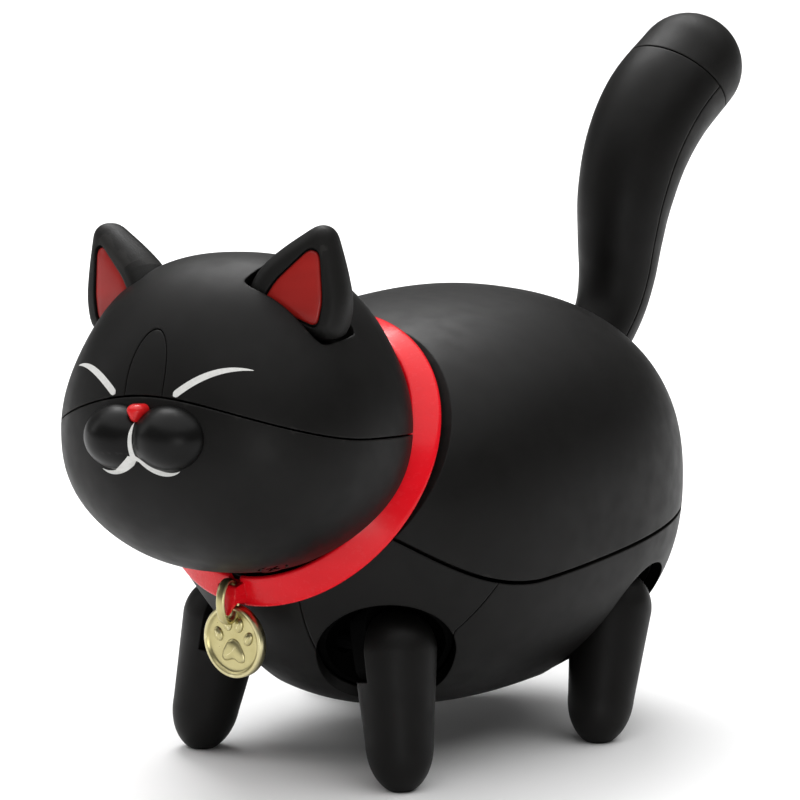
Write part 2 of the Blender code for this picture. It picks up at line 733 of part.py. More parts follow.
def head_frame(head):
    """Bracket inside the head: a plate with the socket for the neck's upper ball."""
    bracket = box("bracket", (-17, -13, -8.2), (17, 13, -5.6), HEAD)
    upper_ball = COLLAR @ Vector((0, 0, UPPER_BALL_AHEAD))
    outer = NECK_BALL_RADIUS + 2 * GAP + SOCKET_WALL
    join(bracket, ball("socket_block", upper_ball, outer + 1.8, sides=16))
    for place in JAW_SCREWS:
        join(bracket, rod("screw_boss", (0, 0, 0.5), (0, 0, 15), 2.6, place=place, sides=14))
    keep_inside(bracket, head_solid("bracket_trim", INNER_INSET))
    cut(bracket, collar_clearance(HEAD_CLEARANCE + SHELL + 0.6))
    cut(bracket, ball("socket_space", upper_ball, outer, sides=16))
    cut(bracket, rod("socket_mouth", upper_ball, COLLAR @ Vector((0, 0, -20)), 6.4))
    for place in JAW_SCREWS:
        cut(bracket, rod("bracket_screw_hole", (0, 0, -2), (0, 0, 14), 1.2, place=place))
    as_part(bracket, "head_frame", DARK, head)


def neck(stem_pivot, cup_pivot):
    lower = Vector((0, 0, LOWER_BALL_AHEAD))
    upper = Vector((0, 0, UPPER_BALL_AHEAD))
    stem = ball("neck_stem", lower, NECK_BALL_RADIUS, place=COLLAR)
    join(stem, ball("stem_top", upper, NECK_BALL_RADIUS, place=COLLAR), rod("stem_rod", lower, upper, 1.9, place=COLLAR))
    as_part(stem, "neck_stem", DARK, stem_pivot)
    inner = NECK_BALL_RADIUS + GAP
    cup = ball("neck_ball_cup", upper, inner + SOCKET_WALL, sides=16, place=COLLAR)
    cut(cup, ball("cup_space", upper, inner, sides=14, place=COLLAR))
    cut(cup, rod("cup_mouth", upper - Vector((0, 0, 1.4)), (0, 0, -10), 8, place=COLLAR))
    as_part(cup, "neck_ball_cup", DARK, cup_pivot)


def ear_axle(name, side, radius, reach, beyond=1.3):
    """A rod on the ear's hinge line, from the pocket's inner wall into the ear."""
    start = Vector((-side * (EAR_HALF_WIDTH + beyond), 0, EAR_AXIS_HEIGHT))
    return rod(name, start, (side * reach, 0, EAR_AXIS_HEIGHT), radius, place=ear_frame(side), sides=12)


def ear(side, word, parent):
    place = ear_frame(side)
    shell = ear_block("ear", side, 0.0, 0.0)
    bevel = shell.modifiers.new("Rounded edges", "BEVEL")
    bevel.width = 0.0013
    bevel.segments = 1
    bevel.limit_method = "ANGLE"
    bevel.angle_limit = math.radians(50)
    front = -EAR_THICKNESS / 2
    red = [(-5.3, -1.4), (5.3, -1.4), (4.4, 2.4), (0.9, 8.2), (0.0, 8.7), (-0.9, 8.2), (-4.4, 2.4)]
    grown = [(x * 1.08, 3.5 + (z - 3.5) * 1.08) for x, z in red]
    cut(shell, front_prism("ear_recess", grown, front - 1, front + 0.9, place))
    cut(shell, ear_axle("ear_bore", side, 1.2, 5.0))
    as_part(shell, f"ear_{word}", BLACK, parent)
    insert = front_prism("insert", red, front + 0.25, front + 0.7, place)
    as_part(insert, f"inner_ear_{word}", EAR_RED, parent)


# Legs --------------------------------------------------------------------------------------------


def leg_profile():
    dome = [(LEG_TOP_RADIUS * math.sin(a), LEG_TOP_RADIUS * math.cos(a)) for a in np.radians(np.arange(0, 91, 30))]
    dome[0] = (0.0, LEG_TOP_RADIUS)
    cap = [
        (LEG_LOW_RADIUS * math.cos(a), -LEG_STRAIGHT - LEG_CAP * math.sin(a))
        for a in np.radians(np.arange(0, 91, 30))
    ]
    cap[-1] = (0.0, -LEG_STRAIGHT - LEG_CAP)
    return dome + cap


def knuckle_outline():
    """An upright, round-topped plate, in (y, z) about the hip."""
    half = KNUCKLE_HALF_WIDTH
    outline = [(-half, 0.0)]
    for a in np.radians(np.arange(30.0, 151.0, 30.0)):
        outline.append((-half * math.cos(a), -1.5 - half * 0.7 * math.sin(a)))
    outline.append((half, 0.0))
    for a in np.radians(np.arange(20.0, 161.0, 20.0)):
        outline.append((half * math.cos(a), 3.0 + 6.0 * math.sin(a)))
    return outline


def leg(end, side, word, spread_pivot, swing_pivot):
    hip = hip_frame(end, side)
    spread = spread_frame(end, side)
    cup_in = HIP_BALL_RADIUS + GAP
    cup_out = cup_in + SOCKET_WALL
    inward = Vector((-side * 14.0, 0, 0))
    limb = lathe("leg", leg_profile(), hip, sides=16)
    cut(limb, ball("leg_socket", (0, 0, 0), cup_out + 1.5 * GAP, sides=12, place=spread))
    face = Vector((-side * (KNUCKLE_OUTER - GAP), 0, 0))
    cut(limb, rod("knuckle_space", face, inward, KNUCKLE_TOP[end] + GAP, place=spread, sides=16))
    low, high = (hip.translation.x - 30, hip.translation.y - 30, -20), (60, hip.translation.y + 30, 0)
    cut(limb, box("ground", low, high))
    as_part(limb, f"leg_{end}_{word}", BLACK, swing_pivot)

    x_range = sorted((-side * KNUCKLE_INNER, -side * KNUCKLE_OUTER))
    knuckle = side_prism("knuckle", knuckle_outline(), *x_range, spread)
    keep_inside(knuckle, ball("knuckle_round", (0, 0, 0), KNUCKLE_TOP[end], sides=12, place=spread))
    join(knuckle, ball("cup", (0, 0, 0), cup_out, sides=12, place=spread))
    cut(knuckle, ball("cup_hollow", (0, 0, 0), cup_in + 0.1, sides=10, place=spread))
    cut(knuckle, rod("cup_opening", (-side * 1.3, 0, 0), (-side * 9, 0, 0), 2.95, 4.4, place=spread, sides=12))
    as_part(knuckle, f"hip_knuckle_{end}_{word}", DARK, spread_pivot)


def hip_stud(end, side, word, root):
    (x, y, z), _, _ = HIPS[end]
    centre = Vector((side * x, y, z))
    stud = ball("stud", centre, HIP_BALL_RADIUS, sides=10)
    keel_side = Vector((side * 3.0, y, z))
    flange_end = Vector((side * 4.2, y, z))
    join(stud, rod("stud_rod", keel_side, centre, 1.2, sides=10))
    join(stud, rod("stud_flange", keel_side, flange_end, 2.6, sides=10))
    as_part(stud, f"hip_stud_{end}_{word}", DARK, root)


# Tail --------------------------------------------------------------------------------------------


def tail_points(steps):
    """(y, z, radius) on a smooth curve through TAIL_LINE, with the domed tip added."""
    line = np.array(TAIL_LINE)
    line = np.vstack([2 * line[0] - line[1], line, 2 * line[-1] - line[-2]])
    points = []
    for i in range(1, len(line) - 2):
        before, start, end, after = line[i - 1 : i + 3]
        for t in np.arange(steps) / steps:
            curve = 2 * start + (end - before) * t + (2 * before - 5 * start + 4 * end - after) * t**2
            curve = curve + (3 * start - before - 3 * end + after) * t**3
            points.append(curve / 2)
    points.append(line[-2])
    return np.array(points)


def tail_solid(name, inset=0.0, sides=16):
    line = tail_points(1)
    centres, radii = line[:, :2], line[:, 2]
    along = np.gradient(centres, axis=0)
    along /= np.linalg.norm(along, axis=1)[:, None]
    end = centres[-1]
    for a in np.radians((25.0, 50.0, 70.0)):
        centres = np.vstack([centres, end + along[-1] * radii[len(line) - 1] * math.sin(a)])
        radii = np.append(radii, line[-1, 2] * math.cos(a))
        along = np.vstack([along, along[-1]])
    bm = bmesh.new()
    rings = []
    for (y, z), (ty, tz), r in zip(centres, along, radii):
        turns = [2 * math.pi * i / sides for i in range(sides)]
        side_dir = (-tz, ty)
        ring = []
        for t in turns:
            across, up = (r - inset) * math.cos(t), (r - inset) * math.sin(t)
            ring.append(bm.verts.new((across, y + side_dir[0] * up, z + side_dir[1] * up)))
        rings.append(ring)
    for near, far in zip(rings, rings[1:]):
        for i in range(sides):
            j = (i + 1) % sides
            bm.faces.new((near[i], near[j], far[j], far[i]))
    tip = end + along[-1] * (line[-1, 2] - inset)
    tip_vert = bm.verts.new((0, tip[0], tip[1]))
    for i in range(sides):
        bm.faces.new((rings[-1][i], rings[-1][(i + 1) % sides], tip_vert))
    bm.faces.new(rings[0])
    return finish_mesh(name, bm)


def tail_frame():
    """Origin at the tail's pivot, Z along the tail's base."""
    base_y, base_z, _ = TAIL_LINE[0]
    angle = math.degrees(math.atan2(base_z - TAIL_PIVOT[1], base_y - TAIL_PIVOT[0]))
    return Matrix.Translation((0, *TAIL_PIVOT)) @ rotation(x=angle - 90.0)


def tail_slot():
    """Cones from the pivot, one for each position of the tail, that open the back shell for it."""
    y, z = TAIL_PIVOT
    cones = []
    for number, angle in enumerate(TAIL_SLOT_ANGLES):
        direction = Vector((0, math.cos(math.radians(angle)), math.sin(math.radians(angle))))
        start = Vector((0, y, z)) - direction * (0.3 + 0.13 * number)
        cones.append(rod("tail_slot", start, start + direction * 17, 5.6, 6.4, sides=16))
    return cones


def tail(lift_pivot, twist_pivot, root):
    pivot_y, pivot_z = TAIL_PIVOT
    base_y, base_z, base_radius = TAIL_LINE[0]
    axis = Vector((0, base_y - pivot_y, base_z - pivot_z)).normalized()
    base = Vector((0, base_y, base_z))
    knuckle = rod("tail_knuckle", (-2.4, pivot_y, pivot_z), (2.4, pivot_y, pivot_z), 4.2, sides=20)
    join(knuckle, rod("tail_spigot", Vector((0, pivot_y, pivot_z)) + axis * 1.5, base + axis * 6.5, 2.0))
    cut(knuckle, rod("knuckle_bore", (-9, pivot_y, pivot_z), (9, pivot_y, pivot_z), 1.3, sides=16))
    as_part(knuckle, "tail_knuckle", DARK, lift_pivot)
    pin = rod("tail_pin", (-5.6, pivot_y, pivot_z), (5.6, pivot_y, pivot_z), 1.0)
    as_part(pin, "tail_pin", STEEL, root)

    seam_y, seam_z = TAIL_TIP_SEAM
    line = tail_points(2)
    rise = math.radians(TAIL_TIP_RISE)
    end_dir = Vector((0, math.cos(rise), math.sin(rise)))
    seam = Vector((0, seam_y, seam_z))
    far = rod("tip_region", seam + end_dir * GAP / 2, seam + end_dir * 30, 20, sides=16)
    near = rod("tip_cutter", seam - end_dir * GAP / 2, seam + end_dir * 30, 20, sides=16)
    tip = keep_inside(tail_solid("tip_solid"), far)
    as_part(tip, "tail_tip", BLACK, twist_pivot)

    def half(name, sign):
        along = np.gradient(line[:, :2], axis=0)
        along /= np.linalg.norm(along, axis=1)[:, None]
        normal = np.stack([along[:, 1], -along[:, 0]], axis=1)
        edge = line[:, :2] + normal * sign * GAP / 2
        first, last = edge[0] - along[0] * 6, edge[-1] + along[-1] * 16
        middle = [tuple(p) for p in np.vstack([first, edge, last])]
        outer = [tuple(p) for p in np.vstack([first, edge, last]) + sign * np.array([24.0, -14.0])]
        return side_prism(name, middle + outer[::-1], -14, 14)

    spigot = rod("spigot_bore", base - axis * 4, base + axis * 7.2, 2.0 + GAP)
    for word, sign in (("front", -1), ("rear", 1)):
        shell = tail_solid(f"tail_{word}_solid")
        cut(keep_inside(shell, half(f"tail_{word}_half", sign)), near)
        cut(shell, spigot)
        as_part(shell, f"tail_{word}_shell", BLACK, twist_pivot)


# Assembly ----------------------------------------------------------------------------------------

CENTRED = Matrix.Translation((0, CENTRING_SHIFT, 0))
COLLAR_TURN = rotation(x=90.0 - COLLAR_TILT)
COLLAR = collar_frame()
HEAD = Matrix.Translation(HEAD_CENTRE) @ rotation(HEAD_PITCH, HEAD_ROLL, HEAD_TURN)
BELLY_SCREWS = (-14.0, 20.0)
FRAME_WINDOWS = ((-2.0, 46.0, 8.0), (14.0, 34.0, 7.0), (-8.0, 22.0, 6.0))
JAW_SCREW_DEPTH = 0.5
JAW_SCREWS = tuple(jaw_screw_place(x) for x in (-8.0, 8.0))

clear_scene()
PARTS = new_collection("cat_figurine")
CUTTERS = new_collection("cutters")


def build():
    root = pivot("figurine", Matrix.Identity(4))
    skin = body_skin()
    body_shells(skin, root)
    leg_wells(root)
    inner_frame(root)
    neck_plate(root)
    collar(root)
    for number, y in enumerate(BELLY_SCREWS):
        screw(f"belly_screw_{('front', 'rear')[number]}", screw_place(y), 8.0, root)

    medal_pivot = pivot("medal_pivot", Matrix.Translation(RING_PIVOT), root)
    medal(medal_pivot)

    stem_pivot = pivot("neck_lower_pivot", COLLAR @ Matrix.Translation((0, 0, LOWER_BALL_AHEAD)), root)
    cup_pivot = pivot("neck_upper_pivot", COLLAR @ Matrix.Translation((0, 0, UPPER_BALL_AHEAD)), stem_pivot)
    head_pivot = pivot("head_pivot", COLLAR @ Matrix.Translation((0, 0, UPPER_BALL_AHEAD)), cup_pivot)
    neck(stem_pivot, cup_pivot)
    head_shells(head_skin(), head_pivot)
    muzzle(head_pivot)
    head_frame(head_pivot)
    for place, word in zip(JAW_SCREWS, ("right", "left")):
        screw(f"jaw_screw_{word}", place, 9.0, head_pivot)
    for side, word in ((1, "left"), (-1, "right")):
        axis = Matrix.Translation((0, 0, EAR_AXIS_HEIGHT))
        ear(side, word, pivot(f"ear_pivot_{word}", ear_frame(side) @ axis, head_pivot))
        as_part(ear_axle("ear_pin", side, 0.8, 4.4), f"ear_pin_{word}", STEEL, head_pivot)

    for end in HIPS:
        for side, word in ((1, "left"), (-1, "right")):
            hip_stud(end, side, word, root)
            spread = pivot(f"spread_{end}_{word}", spread_frame(end, side), root)
            swing = pivot(f"swing_{end}_{word}", spread_frame(end, side), spread)
            leg(end, side, word, spread, swing)

    lift = pivot("tail_lift_pivot", Matrix.Translation((0, *TAIL_PIVOT)), root)
    twist = pivot("tail_twist_pivot", tail_frame(), lift)
    tail(lift, twist, root)


build()
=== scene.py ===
"""Looks of the jointed cat figurine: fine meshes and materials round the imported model.

Lengths are in millimetres in the figurine's own frame, and new_object() turns them into the frame's
metres. +Z is up, the cat faces -Y and its left side is +X. Angles in the constants are in degrees.
"""

import math

import bmesh
import bpy
import numpy as np
from mathutils import Matrix, Vector


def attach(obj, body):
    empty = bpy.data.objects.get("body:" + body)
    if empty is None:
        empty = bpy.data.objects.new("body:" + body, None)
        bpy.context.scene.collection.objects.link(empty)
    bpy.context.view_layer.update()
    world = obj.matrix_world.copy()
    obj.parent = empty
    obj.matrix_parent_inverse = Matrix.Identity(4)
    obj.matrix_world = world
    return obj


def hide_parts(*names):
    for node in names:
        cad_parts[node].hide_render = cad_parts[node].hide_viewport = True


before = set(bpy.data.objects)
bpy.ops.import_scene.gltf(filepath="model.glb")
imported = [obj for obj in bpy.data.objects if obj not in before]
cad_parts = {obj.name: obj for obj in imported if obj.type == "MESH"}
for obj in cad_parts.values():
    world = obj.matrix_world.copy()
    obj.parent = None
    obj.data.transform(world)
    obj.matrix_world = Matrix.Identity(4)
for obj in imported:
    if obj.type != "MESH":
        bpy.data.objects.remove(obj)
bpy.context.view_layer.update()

MM = 0.001
MM_PER_METRE = 1000.0
CENTRING_SHIFT = 1.005
TO_METRES = Matrix.Scale(MM, 4) @ Matrix.Translation((0, CENTRING_SHIFT, 0))
GAP = 0.3
SHELL = 1.6
MOST_OF_EDGE = 0.45
SCREW_HEAD_RADIUS, SCREW_HOLE_RADIUS = 2.3, 1.25

# Each blob is a superellipsoid: centre, radii and exponent.
BODY_BLOBS = (
    ((0.0, 0.0, 37.2), (32.6, 41.4, 30.9), 2.3),
    ((0.0, -18.6, 34.7), (24.4, 25.7, 24.6), 2.0),
    ((0.0, -22.0, 41.0), (25.5, 20.0, 19.5), 2.2),
)
BODY_CENTRE = (0.0, -4.0, 37.2)
BODY_BLEND = 2.9
SEAM_WIDTH = 0.6
CHEST_HALF_WIDTH = 8.2
CHEST_REAR_Y = -26.0
SHOULDER_REAR_Y = -28.2
SHOULDER_TOP_Y = -23.6
BELLY_SCREWS = (-14.0, 20.0)
PAST_BODY = 45.0

COLLAR_CENTRE = (0.0, -33.6, 47.5)
COLLAR_TILT = 35.2
COLLAR_RADIUS, COLLAR_INNER_RADIUS = 24.3, 21.8
NECK_CUT = -0.9
NECK_STEM_HOLE_RADIUS = 6.4
UPPER_BALL_AHEAD = 5.5

HEAD_CENTRE = (0.0, -48.2, 57.3)
HEAD_TURN = (-7.0, -5.0, 4.0)
HEAD_BLOBS = (
    ((0.0, 0.0, 0.0), (21.9, 21.0, 23.1), 2.33),
    ((0.0, -0.4, -4.0), (23.8, 20.6, 14.9), 2.33),
)
HEAD_BLEND = 3.0
HEAD_CLEARANCE = 1.9
JAW_SCREW_X = 8.0
PAD_BLOBS = tuple(((x, -21.6, -2.95), (6.0, 5.4, 4.9), 2.0) for x in (4.4, -4.4))
PAD_BLEND = 0.3
PRINT_RAISED, PRINT_SUNK = 0.05, 0.12

EAR_BASE = (15.6, -6.5, 15.7)
EAR_OUTWARD, EAR_LEAN = 17.0, 22.4
EAR_THICKNESS = 5.2
EAR_TAPER = 2.2
EAR_HEIGHT = 12.4
EAR_ROUND = 2.2
EAR_PIN_HEIGHT = -1.0

# Each hip is its ball's centre on the left side, the leg's backward lean and its outward spread.
HIPS = {"front": ((16.6, -32.15, 20.4), 7.0, 9.3), "rear": ((24.0, 12.0, 19.6), 19.3, 7.0)}
# Each well is its dome's centre on the left side, the dome's radius and the well's backward lean.
WELLS = {"front": ((16.0, -33.5, 20.3), 10.4, 0.0), "rear": ((24.0, 13.0, 19.7), 9.6, 19.3)}
WELL_MOUTH_RADIUS, WELL_LENGTH = 8.2, 30.0
STUD_HOLE_RADIUS = 1.9
LEG_TOP_RADIUS, LEG_FOOT_RADIUS = 6.3, 5.1
LEG_LENGTH, LEG_FOOT_DOME = 13.8, 7.5
LEG_SOCKET_RADIUS = 4.45
KNUCKLE_TOP = {"front": 8.0, "rear": 7.4}
KNUCKLE_SPACE_RADIUS = 5.3
KNUCKLE_NEAR_X, KNUCKLE_FAR_X = 1.1, 4.1
LEG_HOLLOW_X, LEG_HOLLOW_FLOOR = 0.8, -4.4
KNUCKLE_CUP_RADIUS, HIP_BALL_SPACE_RADIUS = 4.0, 3.0

# Points of the tail's middle line from root to tip: y, z and the tail's radius.
TAIL_LINE = (
    (37.6, 51.0, 4.7),
    (41.0, 54.8, 5.1),
    (44.2, 59.4, 5.6),
    (45.9, 64.5, 6.2),
    (46.7, 70.5, 6.9),
    (48.0, 77.0, 7.7),
    (51.2, 84.2, 8.4),
    (56.6, 90.4, 8.8),
    (65.0, 95.7, 8.7),
)
TAIL_PIVOT = (33.6, 46.8)
TAIL_TIP_SEAM = (61.6, 93.6)
TAIL_TIP_RISE = 45.0
TAIL_CUT_RADIUS, TAIL_CUT_REACH = 20.0, 30.0
SPIGOT_BORE_RADIUS = 2.3

MEDAL_CENTRE = (0.0, -49.2, 22.6)
MEDAL_RADIUS, MEDAL_THICKNESS = 5.5, 1.5
MEDAL_DISH, MEDAL_BACK_DISH = 0.42, 0.2
PAW_CENTRE_Z, PAW_HEIGHT = -1.55, 0.5
# Each toe of the paw print is its centre (x, z) and its tilt.
TOES = ((-2.85, 0.75, 24), (-1.08, 2.55, 8), (1.08, 2.55, -8), (2.85, 0.75, -24))
TOE_RADII, TOE_HEIGHT = (0.78, 1.12), 0.45
RING_CENTRE = (0.0, -50.75, 28.88)
RING_DEPTH, RING_HEIGHT = 1.75, 3.15
RING_HALF_WIDTH, RING_HALF_WIRE = 0.75, 0.38
RING_SQUARENESS = 0.85

# The lug under the collar, from its side: y and z.
LUG_OUTLINE = (
    (-46.6, 29.2),
    (-48.0, 28.3),
    (-50.4, 28.7),
    (-50.65, 26.55),
    (-51.1, 26.9),
    (-51.2, 30.0),
    (-51.0, 31.3),
    (-48.4, 31.8),
)
LUG_HALF_WIDTH = 1.75

CAMERA_AZIMUTH, CAMERA_ELEVATION = 38.43, 11.54
CAMERA_DISTANCE_M, CAMERA_LENS = 0.8, 234.0
CAMERA_TARGET_RIGHT_M, CAMERA_TARGET_HEIGHT_M = -0.00622, 0.05104

# Meshes ------------------------------------------------------------------------------------------


def rotation(x=0.0, y=0.0, z=0.0):
    turns = ((z, "Z"), (y, "Y"), (x, "X"))
    about_z, about_y, about_x = (Matrix.Rotation(math.radians(a), 4, axis) for a, axis in turns)
    return about_z @ about_y @ about_x


COLLAR = Matrix.Translation(COLLAR_CENTRE) @ rotation(x=90.0 - COLLAR_TILT)
HEAD = Matrix.Translation(HEAD_CENTRE) @ rotation(*HEAD_TURN)


def new_object(name, bm, place=None):
    bmesh.ops.remove_doubles(bm, verts=bm.verts, dist=1e-4)
    bmesh.ops.recalc_face_normals(bm, faces=bm.faces)
    if place is not None:
        bm.transform(place)
    bm.transform(TO_METRES)
    mesh = bpy.data.meshes.new(name)
    bm.to_mesh(mesh)
    bm.free()
    obj = bpy.data.objects.new(name, mesh)
    bpy.context.scene.collection.objects.link(obj)
    return obj


def combine(operation, obj, *others, keep=()):
    """Applies Booleans to obj, then removes the other objects, apart from those in keep."""
    for other in others:
        modifier = obj.modifiers.new(operation, "BOOLEAN")
        modifier.operation = operation
        modifier.object = other
        modifier.solver = "MANIFOLD"
    graph = bpy.context.evaluated_depsgraph_get()
    mesh = bpy.data.meshes.new_from_object(obj.evaluated_get(graph))
    obj.modifiers.clear()
    obj.data = mesh
    for other in others:
        if other not in keep:
            bpy.data.objects.remove(other)
    return obj


def cut(obj, *others):
    return combine("DIFFERENCE", obj, *others)


def join(obj, *others):
    return combine("UNION", obj, *others)


def keep_inside(obj, *others, keep=()):
    return combine("INTERSECT", obj, *others, keep=keep)


def gather(obj, *others):
    """Puts the other meshes into obj as closed islands of their own."""
    bm = bmesh.new()
    for other in (obj, *others):
        bm.from_mesh(other.data)
    bm.to_mesh(obj.data)
    bm.free()
    for other in others:
        bpy.data.objects.remove(other)


def blend_level(points, blobs, blend):
    """Above zero inside the smooth blend of superellipsoids, and below zero outside."""
    total = np.zeros(len(points))
    for centre, radii, exponent in blobs:
        q = np.abs((points - np.array(centre)) / np.array(radii))
        level = (q**exponent).sum(axis=1) ** (1 / exponent) - 1
        total += np.exp(-np.clip(level * min(radii) / blend, -50, 50))
    return np.log(total)


def blend_radius(directions, blobs, blend, centre):
    low, high = np.zeros(len(directions)), np.full(len(directions), 90.0)
    for _ in range(26):
        middle = (low + high) / 2
        inside = blend_level(np.array(centre) + directions * middle[:, None], blobs, blend) > 0
        low, high = np.where(inside, middle, low), np.where(inside, high, middle)
    return low


def blended_solid(name, blobs, blend, centre, inset, cells, place=None):
    """The blended surface on an even grid, six faces of cells by cells."""
    bm = bmesh.new()
    bmesh.ops.create_cube(bm, size=2.0)
    bmesh.ops.subdivide_edges(bm, edges=bm.edges[:], cuts=cells - 1, use_grid_fill=True)
    grid = np.tan(np.array([v.co for v in bm.verts]) * math.pi / 4)
    directions = grid / np.linalg.norm(grid, axis=1)[:, None]
    radius = blend_radius(directions, blobs, blend, centre) - inset
    for vert, point in zip(bm.verts, np.array(centre) + directions * radius[:, None]):
        vert.co = point
    return new_object(name, bm, place)


def body_solid(inset, cells):
    return blended_solid("body", BODY_BLOBS, BODY_BLEND, BODY_CENTRE, inset, cells)


def head_solid(inset, cells):
    return blended_solid("head", HEAD_BLOBS, HEAD_BLEND, (0, 0, 0), inset, cells, HEAD)


def loft(name, rings, place=None):
    """Quads between rings of the same number of points, closed by the first and last rings."""
    bm = bmesh.new()
    made = [[bm.verts.new(p) for p in ring] for ring in rings]
    for near, far in zip(made, made[1:]):
        for i in range(len(near)):
            j = (i + 1) % len(near)
            bm.faces.new((near[i], near[j], far[j], far[i]))
    bm.faces.new(made[0])
    bm.faces.new(made[-1][::-1])
    return new_object(name, bm, place)


def side_prism(name, outline, x_low, x_high, place=None):
    return loft(name, [[(x, y, z) for y, z in outline] for x in (x_low, x_high)], place)


def front_prism(name, outline, y_low, y_high, place=None):
    return loft(name, [[(x, y, z) for x, z in outline] for y in (y_low, y_high)], place)


def box(name, low, high, place=None):
    outline = [(low[1], low[2]), (high[1], low[2]), (high[1], high[2]), (low[1], high[2])]
    return side_prism(name, outline, low[0], high[0], place)


def soften(points, radius, steps=4, closed=True):
    """An outline with its corners rounded; an open one keeps its ends."""
    count, made = len(points), []
    for i, point in enumerate(points):
        if not closed and i in (0, count - 1):
            made.append(tuple(point))
            continue
        before, corner, after = (Vector(points[k % count]) for k in (i - 1, i, i + 1))
        back, on = before - corner, after - corner
        start = corner + back.normalized() * min(radius, back.length * MOST_OF_EDGE)
        end = corner + on.normalized() * min(radius, on.length * MOST_OF_EDGE)
        for t in np.linspace(0, 1, steps + 1):
            made.append(tuple(start * (1 - t) ** 2 + corner * 2 * t * (1 - t) + end * t**2))
    return made


def full_turn(sides):
    return np.linspace(0, 2 * math.pi, sides, endpoint=False)


def lathe(name, profile, place, sides=96):
    """A (radius, height) profile turned about Z. Its ends join unless they are on the axis."""
    bm = bmesh.new()
    rings = []
    for r, h in profile:
        rings.append([bm.verts.new((r * math.cos(a), r * math.sin(a), h)) for a in full_turn(sides)])
    if profile[0][0] > 1e-6:
        rings.append(rings[0])
    for near, far in zip(rings, rings[1:]):
        for i in range(sides):
            j = (i + 1) % sides
            bm.faces.new((near[i], near[j], far[j], far[i]))
    return new_object(name, bm, place)


def ball(name, radius, sides, place):
    arc = np.linspace(0, math.pi, sides // 2 + 1)
    profile = [(math.sin(a), math.cos(a)) for a in arc]
    profile[0], profile[-1] = (0.0, 1.0), (0.0, -1.0)
    return lathe(name, profile, place @ Matrix.Diagonal((radius, radius, radius, 1.0)), sides)


def rod(name, start, end, radius, end_radius=None, sides=64, place=None):
    start, end = Vector(start), Vector(end)
    turn = (end - start).to_track_quat("Z", "Y").to_matrix().to_4x4()
    end_radius = radius if end_radius is None else end_radius
    length = (end - start).length
    shape = Matrix.Translation(start) @ turn
    profile = [(0, 0), (radius, 0), (end_radius, length), (0, length)]
    return lathe(name, profile, shape if place is None else place @ shape, sides)


def offset_ring(core, distance, y, steps=8):
    """The core's outline grown by a distance with round corners, at the depth y."""
    count, ring = len(core), []
    for i in range(count):
        before, corner, after = (np.array(core[k % count]) for k in (i - 1, i, i + 1))
        angles = []
        for edge in (corner - before, after - corner):
            angles.append(math.atan2(-edge[0], edge[1]))
        turn = (angles[1] - angles[0] + math.pi) % (2 * math.pi) - math.pi
        for t in np.linspace(0, 1, steps):
            a = angles[0] + turn * t
            ring.append((corner[0] + distance * math.cos(a), y, corner[1] + distance * math.sin(a)))
    return ring


def rounded_plate(name, core, radius, front, back, place, crown, steps, taper=0.0):
    """A plate with rounded edges round a (x, z) core outline, listed anticlockwise.

    A crown is the depth of the rounding. A taper slopes the back out by that much from an ear's tip
    to its base.
    """
    angles = np.linspace(math.pi / 2, 0, steps)
    arc = [(radius * math.cos(a), crown * (1 - math.sin(a))) for a in angles]
    rings = [offset_ring(core, grown, front + depth) for grown, depth in arc]
    rings += [offset_ring(core, grown, back - depth) for grown, depth in reversed(arc)]
    for ring in rings:
        for i, (x, y, z) in enumerate(ring):
            slope = taper * (1 - z / EAR_HEIGHT)
            ring[i] = (x, y + slope * (y - front) / (back - front), z)
    return loft(name, rings, place)


def shade(obj, angle=32.0):
    obj.data.shade_smooth()
    obj.data.set_sharp_from_angle(angle=math.radians(angle))


def piece(obj, name, body, material, slot, *nodes, angle=32.0):
    """Names a finished mesh, gives it its material and hangs it on its body."""
    obj.name = name
    obj.data.name = name
    obj.data.materials.clear()
    obj.data.materials.append(material)
    shade(obj, angle)
    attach(obj, body)
    if nodes:
        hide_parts(*nodes)


# Materials ---------------------------------------------------------------------------------------


